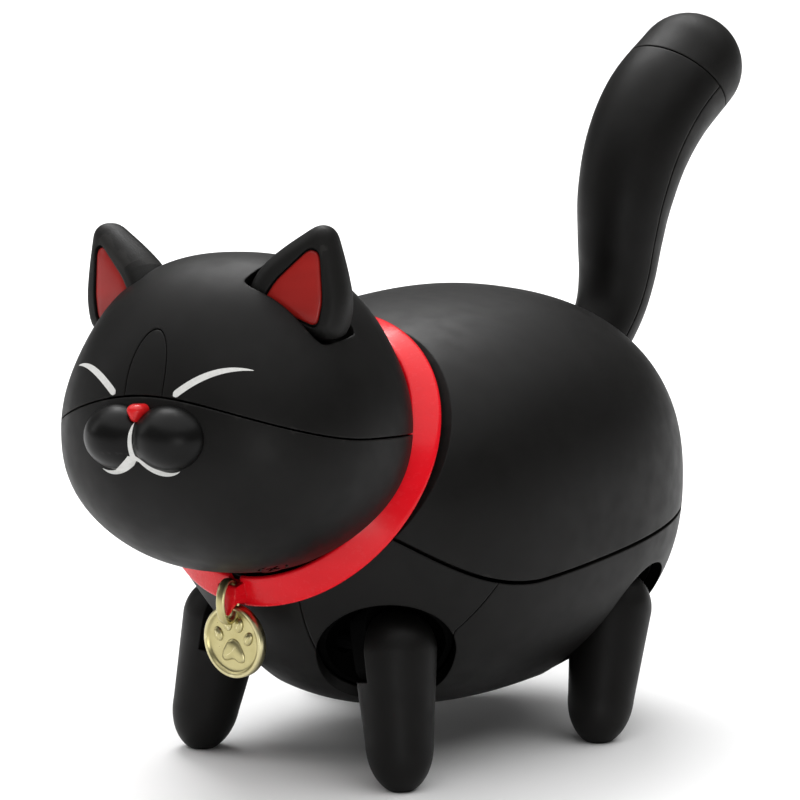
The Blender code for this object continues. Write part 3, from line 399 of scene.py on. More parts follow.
class Nodes:
    """A small helper that adds nodes to one material."""

    def __init__(self, name):
        self.material = bpy.data.materials.new(name)
        self.material.use_nodes = True
        self.tree = self.material.node_tree
        self.shader = self.tree.nodes["Principled BSDF"]
        self.coordinates = self.tree.nodes.new("ShaderNodeTexCoord").outputs["Object"]

    def add(self, kind, inputs=None, **settings):
        node = self.tree.nodes.new(kind)
        for name, value in settings.items():
            setattr(node, name, value)
        for name, value in (inputs or {}).items():
            if isinstance(value, bpy.types.NodeSocket):
                self.tree.links.new(value, node.inputs[name])
            else:
                node.inputs[name].default_value = value
        return node

    def noise(self, size_mm, detail=2.0, roughness=0.5, stretch=None):
        """Noise whose features are about size_mm across."""
        vector = self.coordinates
        if stretch is not None:
            vector = self.add("ShaderNodeMapping", {"Vector": vector, "Scale": stretch}).outputs[0]
        inputs = {"Vector": vector, "Scale": MM_PER_METRE / size_mm}
        inputs.update({"Detail": detail, "Roughness": roughness})
        return self.add("ShaderNodeTexNoise", inputs).outputs["Fac"]

    def spread(self, value, low, high, start=0.3, end=0.7):
        """From low to high as the value goes from start to end."""
        inputs = {"Value": value, "From Min": start, "From Max": end, "To Min": low, "To Max": high}
        return self.add("ShaderNodeMapRange", inputs).outputs["Result"]

    def mix(self, factor, first, second):
        """Two colours mixed. Sockets of this node share their names, so they go by number."""
        inputs = {0: factor, 6: first, 7: second}
        return self.add("ShaderNodeMix", inputs, data_type="RGBA").outputs[2]

    def bump(self, height, depth_mm, edge_mm=0.0):
        inputs = {"Height": height, "Distance": depth_mm * MM, "Strength": 1.0}
        if edge_mm:
            round_edge = self.add("ShaderNodeBevel", {"Radius": edge_mm * MM}, samples=6)
            inputs["Normal"] = round_edge.outputs["Normal"]
        return self.add("ShaderNodeBump", inputs).outputs["Normal"]

    def edge_wear_and_highlight(self, start=0.53, end=0.6):
        """One on sharp outer edges and zero on flat faces."""
        point = self.add("ShaderNodeNewGeometry").outputs["Pointiness"]
        return self.spread(point, 0.0, 1.0, start, end)

    def set(self, **sockets):
        for name, value in sockets.items():
            socket = self.shader.inputs[name.replace("_", " ")]
            if isinstance(value, bpy.types.NodeSocket):
                self.tree.links.new(value, socket)
            else:
                socket.default_value = value
        return self.material


def moulded_black(
    name, colour, lighter, rough, grain_mm=0.16, grain_depth=0.012, edge_mm=0.35, shine=0.13
):
    """Matt black moulded plastic: spark-eroded grain whose raised specks carry a painted glint,
    faint clouding and slightly rubbed edges.
    """
    n = Nodes(name)
    # Painted highlight: the grain's raised specks are mixed towards a lighter black, as if they
    # caught the light.
    painted_glint = tuple(1.7 * c for c in lighter[:3]) + (1.0,)
    worn = tuple(2.2 * c for c in lighter[:3]) + (1.0,)
    grain = n.noise(grain_mm, 3.0, 0.6)
    clouds = n.noise(9.0, 3.0, 0.55)
    base = n.mix(n.spread(clouds, 0.0, 1.0), colour, lighter)
    base = n.mix(n.spread(grain, 0.0, 0.25, 0.45, 0.75), base, painted_glint)
    base = n.mix(n.edge_wear_and_highlight(), base, worn)
    roughness = n.spread(n.noise(3.5, 2.0), rough - 0.04, rough + 0.05)
    return n.set(
        Base_Color=base,
        Roughness=roughness,
        Normal=n.bump(grain, grain_depth, edge_mm),
        Specular_IOR_Level=shine,
    )


def red_plastic(name, colour, darker, rough, coat, grain_depth=0.004, edge_mm=0.25):
    """Glossy or satin red plastic with faint flow marks and fine handling marks in its gloss."""
    n = Nodes(name)
    flow = n.noise(14.0, 2.0, 0.5, (1.0, 1.0, 2.6))
    base = n.mix(n.spread(flow, 0.0, 1.0), colour, darker)
    marks = n.noise(0.9, 4.0, 0.7, (1.0, 0.35, 1.0))
    roughness = n.spread(marks, rough - 0.05, rough + 0.08, 0.35, 0.7)
    fine = n.noise(0.22, 3.0, 0.6)
    return n.set(
        Base_Color=base,
        Roughness=roughness,
        Normal=n.bump(fine, grain_depth, edge_mm),
        Coat_Weight=coat,
        Coat_Roughness=0.08,
        Specular_IOR_Level=0.18,
    )


def gold_metal(name):
    """Pale gold plating on a cast medal: satin ground, and brighter high spots that are partly
    rubbed plating and partly painted highlight.
    """
    n = Nodes(name)
    cast = n.noise(0.45, 3.0, 0.6)
    tarnish = n.noise(2.4, 3.0, 0.55)
    base = n.mix(n.spread(tarnish, 0.0, 1.0), (0.47, 0.42, 0.215, 1.0), (0.42, 0.37, 0.175, 1.0))
    # The sharp edges are mixed towards a brighter gold: partly rubbed plating, partly a painted
    # highlight.
    base = n.mix(n.edge_wear_and_highlight(0.52, 0.58), base, (0.62, 0.57, 0.34, 1.0))
    roughness = n.spread(cast, 0.27, 0.35)
    return n.set(Base_Color=base, Metallic=1.0, Roughness=roughness, Normal=n.bump(cast, 0.003))


def steel_metal(name, dark, light):
    """Plated or blackened steel with fine turning marks."""
    n = Nodes(name)
    turned = n.noise(0.3, 3.0, 0.6, (1.0, 1.0, 6.0))
    base = n.mix(n.spread(turned, 0.0, 1.0), dark, light)
    return n.set(
        Base_Color=base,
        Metallic=1.0,
        Roughness=n.spread(turned, 0.28, 0.42),
        Normal=n.bump(turned, 0.008, 0.08),
    )


def pad_print(name):
    """Pale printed paint: thin, slightly uneven and matt."""
    n = Nodes(name)
    patches = n.noise(0.5, 3.0, 0.6)
    base = n.mix(n.spread(patches, 0.0, 1.0), (0.56, 0.56, 0.54, 1.0), (0.64, 0.64, 0.62, 1.0))
    roughness = n.spread(patches, 0.42, 0.55)
    return n.set(Base_Color=base, Roughness=roughness, Normal=n.bump(patches, 0.004))


BLACK = moulded_black(
    "black_plastic_grain", (0.0034, 0.0032, 0.003, 1), (0.0046, 0.0043, 0.004, 1), rough=0.48
)
EAR_BLACK = moulded_black(
    "black_plastic_coarse",
    (0.0045, 0.0043, 0.004, 1),
    (0.0065, 0.0062, 0.0058, 1),
    rough=0.5,
    grain_mm=0.24,
    grain_depth=0.03,
)
PAD_BLACK = moulded_black(
    "black_plastic_smooth",
    (0.003, 0.003, 0.0029, 1),
    (0.004, 0.0039, 0.0038, 1),
    rough=0.34,
    grain_mm=0.14,
    grain_depth=0.006,
)
FRAME_BLACK = moulded_black(
    "frame_plastic_grain",
    (0.0015, 0.0015, 0.0016, 1),
    (0.0022, 0.0022, 0.0023, 1),
    rough=0.7,
    grain_mm=0.3,
    grain_depth=0.02,
    edge_mm=0.2,
    shine=0.04,
)
# Painted shade: a near-black, almost shineless black, darker than the plastic itself. It goes on the
# leg wells' cups and walls, the neck plate and the hip knuckles so that they look shaded.
SHADE_BLACK = moulded_black(
    "painted_shade_black",
    (0.0006, 0.0006, 0.0006, 1),
    (0.001, 0.001, 0.001, 1),
    rough=0.75,
    grain_mm=0.24,
    grain_depth=0.014,
    edge_mm=0.0,
    shine=0.02,
)
RED = red_plastic(
    "red_gloss_plastic", (0.72, 0.006, 0.014, 1), (0.64, 0.004, 0.01, 1), rough=0.24, coat=0.06
)
EAR_RED = red_plastic(
    "red_satin_plastic",
    (0.3, 0.011, 0.008, 1),
    (0.22, 0.008, 0.006, 1),
    rough=0.42,
    coat=0.1,
    grain_depth=0.01,
)
NOSE_RED = red_plastic(
    "red_nose_plastic",
    (0.6, 0.012, 0.014, 1),
    (0.5, 0.009, 0.01, 1),
    rough=0.3,
    coat=0.2,
    grain_depth=0.006,
    edge_mm=0.1,
)
GOLD = gold_metal("pale_gold_metal")
STEEL = steel_metal("plated_steel", (0.42, 0.42, 0.43, 1), (0.6, 0.6, 0.6, 1))
BLACK_STEEL = steel_metal("blackened_steel", (0.008, 0.008, 0.008, 1), (0.014, 0.014, 0.014, 1))
PRINT = pad_print("pale_print")

# Body --------------------------------------------------------------------------------------------


def seam_height(y):
    """The side seam is lowest behind the front leg: it curves up ahead and rises evenly behind."""
    from_lowest = y + 15.6
    return 30.1 + 0.0175 * min(from_lowest, 0.0) ** 2 + 0.07 * max(from_lowest, 0.0)


def seam_line(offset):
    """The side seam as (y, z) points, moved up by an offset."""
    return [(y, seam_height(y) + offset) for y in np.linspace(-48.0, 50.0, 99)]


def belly_height(y):
    """The height of the body's underside on the middle line."""
    angles = np.linspace(-math.pi, 0.0, 361)
    directions = np.stack([0 * angles, np.cos(angles), np.sin(angles)], axis=1)
    radius = blend_radius(directions, BODY_BLOBS, BODY_BLEND, BODY_CENTRE)
    line = np.array(BODY_CENTRE) + radius[:, None] * directions
    return float(np.interp(y, line[:, 1], line[:, 2]))


def quarter_turn():
    return np.radians(np.arange(0.0, 90.1, 5.0))


def well_frame(end, side):
    (x, y, z), _, lean = WELLS[end]
    return Matrix.Translation((side * x, y, z)) @ rotation(x=-lean)


def well(end, side, inset=0.0, sides=96):
    """The space round a leg: a dome over a cone that narrows downwards, less an inset."""
    top = WELLS[end][1] - inset
    profile = [(top * math.sin(a), top * math.cos(a)) for a in quarter_turn()]
    profile[0] = (0.0, top)
    profile += [(WELL_MOUTH_RADIUS - inset, -WELL_LENGTH), (0.0, -WELL_LENGTH)]
    return lathe("well", profile, well_frame(end, side), sides)


def paint_shade_on_well_walls(shell):
    """The moulded walls of the leg wells, which are deep and unlit, get painted shade: the wells'
    near-black instead of the shell's own black.
    """
    shell.data.materials.append(SHADE_BLACK)
    shift = Vector((0, CENTRING_SHIFT, 0))
    centres = [Vector(p.center) * MM_PER_METRE - shift for p in shell.data.polygons]
    for end, (_, radius, _) in WELLS.items():
        for side in (1, -1):
            turn = well_frame(end, side).inverted()
            for polygon, centre in zip(shell.data.polygons, centres):
                local = turn @ centre
                out = Vector((local.x, local.y, max(local.z, 0.0)))
                wall = radius + (radius - WELL_MOUTH_RADIUS) * min(local.z, 0.0) / WELL_LENGTH
                facing = (turn.to_3x3() @ polygon.normal).dot(out.normalized())
                if abs(out.length - wall) < 0.12 and facing < -0.8:
                    # Material one is the near-black painted shade.
                    polygon.material_index = 1


def screw_place(y):
    return Matrix.Translation((0, y, belly_height(y)))


def screw_cutter(place):
    head = rod("screw_head_hole", (0, 0, -3), (0, 0, 0.9), SCREW_HEAD_RADIUS, place=place)
    shank = rod("screw_hole", (0, 0, -2), (0, 0, 12), SCREW_HOLE_RADIUS, sides=61, place=place)
    return head, shank


def tail_slot():
    """The opening that the tail's root sweeps as the tail lifts, as cones that fan out."""
    y, z = TAIL_PIVOT
    cones = []
    for number, angle in enumerate((57.0, 43.0, 29.0, 15.0, 1.0)):
        direction = Vector((0, math.cos(math.radians(angle)), math.sin(math.radians(angle))))
        start = Vector((0, y, z)) - direction * (0.3 + 0.13 * number)
        cones.append(rod("tail_slot", start, start + direction * 17, 5.6, 6.4))
    return join(*cones)


def body_skin():
    skin = body_solid(0.0, 84)
    neck = rod("neck_cutter", (0, 0, NECK_CUT), (0, 0, 60), 50, place=COLLAR)
    cut(skin, body_solid(SHELL, 36), neck)
    cut(skin, *[well(end, side) for end in WELLS for side in (1, -1)])
    cut(skin, tail_slot())
    for y in BELLY_SCREWS:
        cut(skin, *screw_cutter(screw_place(y)))
    return skin


def shoulder_line(offset):
    """The seam behind the shoulder panel as (y, z) points, moved back by an offset."""
    y, top_z = SHOULDER_REAR_Y + offset, seam_height(SHOULDER_TOP_Y) - SEAM_WIDTH / 2
    return [(y, -5.0), (y, 24.0), (SHOULDER_TOP_Y + offset, top_z)]


def lower_outline(front, rear):
    """A side outline that goes up the front, along under the side seam and down the rear."""
    line = [p for p in seam_line(-SEAM_WIDTH / 2) if front[-1][0] < p[0] < rear[0][0]]
    return front + line + rear


def body_pieces():
    skin = body_skin()
    upper = seam_line(SEAM_WIDTH / 2) + [(50.0, 80.0), (-48.0, 80.0)]
    back = keep_inside(side_prism("back", upper, -PAST_BODY, PAST_BODY), skin, keep=(skin,))
    piece(back, "back_shell_fine", "body", BLACK, "black_plastic", "back_shell")

    rear = [(50.0, seam_height(50.0)), (50.0, -5.0)]
    outline = lower_outline(shoulder_line(GAP / 2), rear)
    haunch = side_prism("haunch", outline, -PAST_BODY, PAST_BODY)
    chest_edge = CHEST_HALF_WIDTH + GAP / 2
    chest_rear = CHEST_REAR_Y + GAP
    cut(haunch, box("chest_bay", (-chest_edge, -60, -10), (chest_edge, chest_rear, 45)))
    join(haunch, box("belly_front", (-chest_edge, chest_rear, -5), (chest_edge, -20, 28)))
    keep_inside(haunch, skin, keep=(skin,))
    piece(haunch, "belly_shell_fine", "body", BLACK, "black_plastic", "belly_shell")
    paint_shade_on_well_walls(haunch)

    ahead = list(reversed(shoulder_line(-GAP / 2)))
    for side, word in ((1, "left"), (-1, "right")):
        x_range = sorted((side * chest_edge, side * PAST_BODY))
        line = [p for p in seam_line(-SEAM_WIDTH / 2) if p[0] < ahead[0][0]]
        outline = [(-60.0, -5.0), (-60.0, 40.0)] + line + ahead
        panel = side_prism("shoulder", outline, *x_range)
        keep_inside(panel, skin, keep=(skin,))
        node = f"shoulder_panel_{word}"
        piece(panel, f"{node}_fine", "body", BLACK, "black_plastic", node)
        paint_shade_on_well_walls(panel)

    half = CHEST_HALF_WIDTH - GAP / 2
    chest = keep_inside(box("chest", (-half, -60, -5), (half, CHEST_REAR_Y, 45)), skin)
    piece(chest, "chest_plate_fine", "body", BLACK, "black_plastic", "chest_plate")


def leg_wells():
    for end in WELLS:
        for side, word in ((1, "left"), (-1, "right")):
            cup = well(end, side, GAP)
            cut(cup, well(end, side, GAP + 1.0, 95))
            keep_inside(cup, body_solid(SHELL + 0.25, 36))
            hip = Vector(HIPS[end][0])
            hip.x *= side
            cut(cup, rod("stud_hole", (0.0, hip.y, hip.z), hip, STUD_HOLE_RADIUS))
            node = f"leg_well_{end}_{word}"
            # The cup takes the near-black painted shade.
            piece(cup, f"{node}_fine", "body", SHADE_BLACK, "frame_plastic", node)


def neck_plate():
    corners = [(5.6, -8.6), (22.6, -8.6), (22.6, -0.3), (21.4, -0.3), (21.4, -6.8), (5.6, -6.8)]
    plate = lathe("plate", soften(corners, 0.3, 3), COLLAR, 120)
    keep_inside(plate, body_solid(3.1, 36))
    cut(plate, well("front", 1), well("front", -1))
    # The neck plate takes the near-black painted shade.
    piece(plate, "neck_plate_fine", "body", SHADE_BLACK, "frame_plastic", "neck_plate")


def collar():
    """A conical band, and the pointed lug that the medal's ring goes through."""
    r, inner = COLLAR_RADIUS, COLLAR_INNER_RADIUS
    outside = [(r - 0.3, 0.0), (r, 0.3), (r - 0.1, 0.8), (r - 2.5, 3.8), (r - 2.9, 4.1)]
    profile = [(inner, 0.0)] + outside + [(r - 3.5, 3.8), (inner, 0.9)]
    ring = lathe("ring", soften(profile, 0.35, 3), COLLAR, 192)
    half = LUG_HALF_WIDTH
    lug = side_prism("lug", soften(LUG_OUTLINE, 0.3, 3), -half, half)
    edge = half + 0.01
    point = [(-edge, 40.0), (-edge, 29.2), (0.0, 26.5), (edge, 29.2), (edge, 40.0)]
    keep_inside(lug, front_prism("lug_point", soften(point, 0.5, 4), -60, -40))
    join(ring, lug)
    cut(ring, box("ring_slot", (-1.05, -50.5, 20), (1.05, -47.9, 40)))
    piece(ring, "collar_fine", "body", RED, "red_gloss", "collar")


# Medal -------------------------------------------------------------------------------------------


def dome(name, outline, centre, height, base, place):
    """A pillow on an (x, z) outline that rises towards -Y from the depth base."""
    centre = np.array(centre)
    rings = [[(p[0], base + 0.5, p[1]) for p in outline]]
    for a in np.linspace(0, math.pi / 2, 6):
        scale = max(math.cos(a), 0.02)
        ring = [tuple(centre + (np.array(p) - centre) * scale) for p in outline]
        rings.append([(x, base - height * math.sin(a), z) for x, z in ring])
    return loft(name, rings, place)


def paw_outline():
    """The large pad: a rounded triangle, pointing up, with a wavy foot."""
    half = [(0.0, -1.1), (1.45, -1.7), (2.25, -1.25), (2.05, -0.1), (1.0, 1.65), (0.0, 2.05)]
    outline = [(x, z + PAW_CENTRE_Z) for x, z in half]
    return soften(outline + [(-x, z) for x, z in reversed(outline[1:-1])], 0.6, 6)


def medal():
    """A dished disc with a raised rim and a raised paw, on its oval ring."""
    centre = Matrix.Translation(MEDAL_CENTRE)
    half, r = MEDAL_THICKNESS / 2, MEDAL_RADIUS
    floor, back = half - MEDAL_DISH, MEDAL_BACK_DISH - half
    profile = [(0, floor), (2.0, floor), (4.0, floor), (4.35, floor), (4.72, floor + 0.1)]
    profile += [(4.85, half - 0.06), (5.0, half), (r - 0.14, half), (r, half - 0.14)]
    profile += [(r, 0.14 - half), (r - 0.14, -half), (4.6, -half)]
    profile += [(4.5, 0.12 - half), (4.2, back), (2.0, back), (0, back)]
    disc = lathe("disc", profile, centre @ rotation(x=90.0), 128)
    pads = [dome("pad", paw_outline(), (0, PAW_CENTRE_Z), PAW_HEIGHT, -floor, centre)]
    for px, pz, tilt in TOES:
        c, s = math.cos(math.radians(tilt)), math.sin(math.radians(tilt))
        local = [(TOE_RADII[0] * math.cos(t), TOE_RADII[1] * math.sin(t)) for t in full_turn(40)]
        outline = [(px + c * x - s * z, pz + s * x + c * z) for x, z in local]
        pads.append(dome("toe", outline, (px, pz), TOE_HEIGHT, -floor, centre))
    gather(disc, *pads, oval_ring())
    piece(disc, "paw_medal_fine", "medal", GOLD, "gold", "paw_medal", angle=50)


def oval_ring():
    """The medal's ring: an oval in the Y-Z plane, bent from a flat band with rounded edges."""
    rings = []
    for a in full_turn(96):
        c, s = math.cos(a), math.sin(a)
        out = Vector((0, RING_HEIGHT * c, RING_DEPTH * s)).normalized()
        middle = Vector(RING_CENTRE) + Vector((0, RING_DEPTH * c, RING_HEIGHT * s))
        ring = []
        for t in full_turn(24):
            c, s = math.cos(t), math.sin(t)
            wide = math.copysign(abs(s) ** RING_SQUARENESS, s) * RING_HALF_WIDTH
            thick = math.copysign(abs(c) ** RING_SQUARENESS, c) * RING_HALF_WIRE
            ring.append(tuple(middle + out * thick + Vector((wide, 0, 0))))
        rings.append(ring)
    return closed_loft("ring", rings)


def closed_loft(name, rings):
    """Quads between rings, with the last ring joined to the first."""
    bm = bmesh.new()
    made = [[bm.verts.new(p) for p in ring] for ring in rings]
    for near, far in zip(made, made[1:] + made[:1]):
        for i in range(len(near)):
            j = (i + 1) % len(near)
            bm.faces.new((near[i], near[j], far[j], far[i]))
    return new_object(name, bm)


# Head --------------------------------------------------------------------------------------------


def head_seam_height(azimuth):
    """The head's seam arches over the muzzle and is level from 84 degrees to each side."""
    reach = min(abs(azimuth) / math.radians(84.0), 1.0)
    return -3.4 + 6.4 * (1 + math.cos(math.pi * reach)) / 2


def head_region(name, offset, far, sides=180):
    """The space between the head's seam, moved up by an offset, and the height far."""
    bm = bmesh.new()
    azimuths = np.linspace(-math.pi, math.pi, sides, endpoint=False)
    middle, end = bm.verts.new((0, 0, offset)), bm.verts.new((0, 0, far))
    rings = []
    for radius, flat in ((14.0, None), (34.0, None), (34.0, far)):
        ring = []
        for a in azimuths:
            height = head_seam_height(a) + offset if flat is None else flat
            ring.append(bm.verts.new((radius * math.sin(a), -radius * math.cos(a), height)))
        rings.append(ring)
    for i in range(sides):
        j = (i + 1) % sides
        bm.faces.new((middle, rings[0][i], rings[0][j]))
        for near, out in zip(rings, rings[1:]):
            bm.faces.new((near[i], out[i], out[j], near[j]))
        bm.faces.new((end, rings[2][j], rings[2][i]))
    return new_object(name, bm, HEAD)


def tongue(grow):
    """The forehead panel's space: straight sides under a half oval, grown by a distance."""
    half, top, spring = 3.3 + grow, 12.4 + grow, 5.0
    outline = [(half, -1.0)]
    for a in np.radians(np.arange(0.0, 180.1, 5.0)):
        outline.append((half * math.cos(a), spring + (top - spring) * math.sin(a)))
    return front_prism("tongue", outline + [(-half, -1.0)], -40, -10, HEAD)


def ear_frame(side):
    base = (side * EAR_BASE[0], EAR_BASE[1], EAR_BASE[2])
    return HEAD @ Matrix.Translation(base) @ rotation(y=side * EAR_LEAN, z=side * EAR_OUTWARD)


def ear_core():
    """The ear's outline less its edge rounding: convex sides up to a rounded tip."""
    right = [(5.3, -1.2), (5.6, 0.0), (5.0, 2.89), (2.85, 6.38), (0.1, 10.15)]
    return soften(right + [(-x, z) for x, z in reversed(right)], 1.6, 3)


def ear_plate(name, side, grow, wall, crown, steps):
    """An ear, or the space round one: grown outwards, and thicker by a wall on each face."""
    half, place = EAR_THICKNESS / 2 + wall, ear_frame(side)
    radius = EAR_ROUND + grow
    return rounded_plate(name, ear_core(), radius, -half, half, place, crown, steps, EAR_TAPER)


def ear_pocket(side):
    return ear_plate("ear_pocket", side, 0.5, 0.7, 0.9, 5)


def ear_pin_hole(side, radius, reach, beyond=9.4):
    start, end = (-side * beyond, 0, EAR_PIN_HEIGHT), (side * reach, 0, EAR_PIN_HEIGHT)
    return rod("pin_hole", start, end, radius, place=ear_frame(side))


def collar_clearance(gap, sides=128):
    """The space that the collar and the neck take out of the head, wider by a gap."""
    profile = [
        (0.0, -30.0),
        (33.0, -30.0),
        (33.0, 0.8 + gap),
        (COLLAR_RADIUS + 0.4 * gap, 0.8 + gap),
        (COLLAR_RADIUS - 2.5, 3.8 + gap),
        (COLLAR_RADIUS - 3.5 - gap, 3.8 + gap),
        (COLLAR_RADIUS - 6.0 - gap, 1.6 + gap),
        (0.0, -2.0 + gap),
    ]
    return lathe("collar_clearance", soften(profile, 1.0, 4, closed=False), COLLAR, sides)


def jaw_screw_place(x):
    direction = np.array([[x, -3.0, -21.0]])
    direction /= np.linalg.norm(direction)
    radius = blend_radius(direction, HEAD_BLOBS, HEAD_BLEND, (0.0, 0.0, 0.0))[0]
    inward = Vector(-direction[0]).to_track_quat("Z", "Y").to_matrix().to_4x4()
    return HEAD @ Matrix.Translation(direction[0] * (radius - 0.5)) @ inward


def head_skin():
    skin = head_solid(0.0, 80)
    hollow = head_solid(SHELL, 36)
    cut(hollow, collar_clearance(HEAD_CLEARANCE + SHELL, 60))
    for side in (1, -1):
        cut(hollow, ear_plate("pocket_walls", side, 1.5, 1.7, 1.5, 4))
    cut(skin, hollow)
    cut(skin, collar_clearance(HEAD_CLEARANCE))
    upper_ball = COLLAR @ Vector((0, 0, UPPER_BALL_AHEAD))
    stem_end = COLLAR @ Vector((0, 0, -20))
    cut(skin, rod("stem_hole", upper_ball, stem_end, NECK_STEM_HOLE_RADIUS, sides=59))
    for side in (1, -1):
        cut(skin, ear_pocket(side), ear_pin_hole(side, 1.1, 0.0, 9.8))
    for x in (-JAW_SCREW_X, JAW_SCREW_X):
        cut(skin, *screw_cutter(jaw_screw_place(x)))
    return skin


def head_pieces():
    skin = head_skin()
    upper = cut(head_region("upper", GAP / 2, 40.0), tongue(GAP / 2))
    keep_inside(upper, skin, keep=(skin,))
    piece(upper, "head_upper_shell_fine", "head", BLACK, "black_plastic", "head_upper_shell")
    above_seam = head_region("panel_region", GAP / 2, 40.0)
    panel = keep_inside(tongue(-0.06), above_seam, skin, keep=(skin,))
    piece(panel, "forehead_panel_fine", "head", BLACK, "black_plastic", "forehead_panel")
    lower = keep_inside(head_region("lower", -GAP / 2, -40.0), skin)
    piece(lower, "head_lower_shell_fine", "head", BLACK, "black_plastic", "head_lower_shell")


def muzzle():
    face = blended_solid("muzzle", PAD_BLOBS, PAD_BLEND, (0, -21.4, -3.0), 0.0, 60, HEAD)
    cut(face, head_solid(-0.05, 60))
    cut(face, nose_solid("nose_pocket", 0.16))
    piece(face, "muzzle_fine", "head", PAD_BLACK, "black_plastic", "muzzle", angle=60)
    nose = cut(nose_solid("nose", 0.0), head_solid(-0.05, 60))
    piece(nose, "nose_fine", "head", NOSE_RED, "red_gloss", "nose", angle=60)


def nose_solid(name, grow):
    """A rounded triangle, wide at the top, that stands out between the pads."""
    core = [(-0.5, 0.3), (0.0, -0.5), (0.5, 0.3)]
    place = HEAD @ Matrix.Translation((0.0, 0.0, 0.68))
    return rounded_plate(name, core, 0.96 + grow, -25.5 - grow, -20.5, place, 1.5 + grow, 9)


def front_depth(x, z, blobs, blend):
    """The depth Y of a blended surface in front of the points (x, z) of the head's frame."""
    near, far = np.full(len(x), -40.0), np.full(len(x), -14.0)
    for _ in range(30):
        middle = (near + far) / 2
        inside = blend_level(np.stack([x, middle, z], axis=1), blobs, blend) > 0
        far, near = np.where(inside, middle, far), np.where(inside, near, middle)
    return far


def printed_line(name, path, width, start_round=0.05, end_power=3.0):
    """A strip of paint on the face along a smooth (x, z) path, round at its start and tapered."""
    control = np.array(path, float)
    spans = np.linspace(0, len(control) - 1, 49)
    fit = [np.polyfit(np.arange(len(control)), control[:, k], len(control) - 1) for k in (0, 1)]
    line = np.stack([np.polyval(f, spans) for f in fit], axis=1)
    along = np.gradient(line, axis=0)
    along /= np.linalg.norm(along, axis=1)[:, None]
    across = np.stack([-along[:, 1], along[:, 0]], axis=1)
    t = spans / spans[-1]
    half = 0.5 * width * (1 - t**end_power * 0.93)
    half *= np.sqrt(np.clip(1 - (1 - np.minimum(t / start_round, 1)) ** 2, 0.02, 1))
    rows = []
    for share in (-1.0, -0.5, 0.0, 0.5, 1.0):
        point = line + across * (half * share)[:, None]
        x, z = point[:, 0], point[:, 1]
        on_head = front_depth(x, z, HEAD_BLOBS, HEAD_BLEND)
        on_pads = front_depth(x, z, PAD_BLOBS, PAD_BLEND)
        rows.append((x, np.minimum(on_head, on_pads), z))
    rings = []
    for i in range(len(line)):
        top = [(x[i], y[i] - PRINT_RAISED, z[i]) for x, y, z in rows]
        low = [(x[i], y[i] + PRINT_SUNK, z[i]) for x, y, z in reversed(rows)]
        rings.append(top + low)
    piece(loft(name, rings, HEAD), name, "head", PRINT, None, angle=50)


def face_lines():
    eye = ((5.25, 3.1), (8.6, 5.4), (12.1, 6.75), (15.75, 6.8))
    mouth = ((0.0, -5.7), (2.1, -7.3), (4.6, -8.1), (7.0, -7.65))
    for side, word in ((1, "left"), (-1, "right")):
        printed_line(f"eye_line_{word}", [(side * x, z) for x, z in eye], 1.05)
        printed_line(f"mouth_line_{word}", [(side * x - 0.6, z) for x, z in mouth], 0.85, 0.02)
    middle = [(-0.6, -6.0), (-0.3, -4.5), (-0.15, -2.6), (0, -0.7)]
    printed_line("mouth_line_middle", middle, 0.6, 0.02, 6.0)


def ears():
    """Each ear has a recess in its front, and in it the red inner ear, slightly domed."""
    front = -EAR_THICKNESS / 2
    half = [(4.5, -1.4), (3.8, 2.4), (0.8, 8.6)]
    red = soften(half + [(-x, z) for x, z in reversed(half)], 1.3, 6)
    grown = [(x * 1.07, 3.5 + (z - 3.5) * 1.07) for x, z in red]
    domed = ((0.99, 0.7), (1.0, 0.46), (0.98, 0.3), (0.92, 0.2), (0.7, 0.12), (0.3, 0.08))
    for side, word in ((1, "left"), (-1, "right")):
        place = ear_frame(side)
        shell = ear_plate("ear", side, 0.0, 0.0, 2.3, 9)
        cut(shell, front_prism("recess", grown, front - 1, front + 0.9, place))
        cut(shell, ear_pin_hole(side, 1.2, 5.0))
        piece(shell, f"ear_{word}_fine", f"ear_{word}", EAR_BLACK, "black_plastic", f"ear_{word}")
        rings = []
        for share, depth in domed:
            rings.append([(x * share, front + depth, 3.0 + (z - 3.0) * share) for x, z in red])
        insert = loft("insert", rings, place)
        node = f"inner_ear_{word}"
        piece(insert, f"{node}_fine", f"ear_{word}", EAR_RED, "red_satin", node, angle=50)


# Legs --------------------------------------------------------------------------------------------


def leg_frames(end, side):
    """The leg's frame at its ball, and the knuckle's, which doesn't lean."""
    (x, y, z), lean, spread = HIPS[end]
    middle = Matrix.Translation((side * x, y, z))
    return middle @ rotation(x=-lean, y=-side * spread), middle @ rotation(y=-side * spread)


def leg_profile():
    """A capsule that narrows downwards, with a longer dome at the foot."""
    top, foot = LEG_TOP_RADIUS, LEG_FOOT_RADIUS
    shoulder = [(top * math.sin(a), top * math.cos(a)) for a in quarter_turn()]
    straight = [(top - (top - foot) * t, -LEG_LENGTH * t) for t in (0.25, 0.5, 0.75)]
    cap = []
    for a in quarter_turn():
        cap.append((foot * math.cos(a), -LEG_LENGTH - LEG_FOOT_DOME * math.sin(a)))
    shoulder[0], cap[-1] = (0.0, top), (0.0, -LEG_LENGTH - LEG_FOOT_DOME)
    return shoulder + straight + cap


def knuckle_outline():
    half = 4.8
    under, over = np.radians(np.arange(10, 171, 10)), np.radians(np.arange(0.0, 180.1, 5.0))
    low = [(-half * math.cos(a), -1.5 - half * 0.7 * math.sin(a)) for a in under]
    high = [(half * math.cos(a), 3.0 + 6.0 * math.sin(a)) for a in over]
    return [(-half, 0.0)] + low + high


def legs():
    for end in HIPS:
        for side, word in ((1, "left"), (-1, "right")):
            leg(end, side, word)
            hip_knuckle(end, side, word)


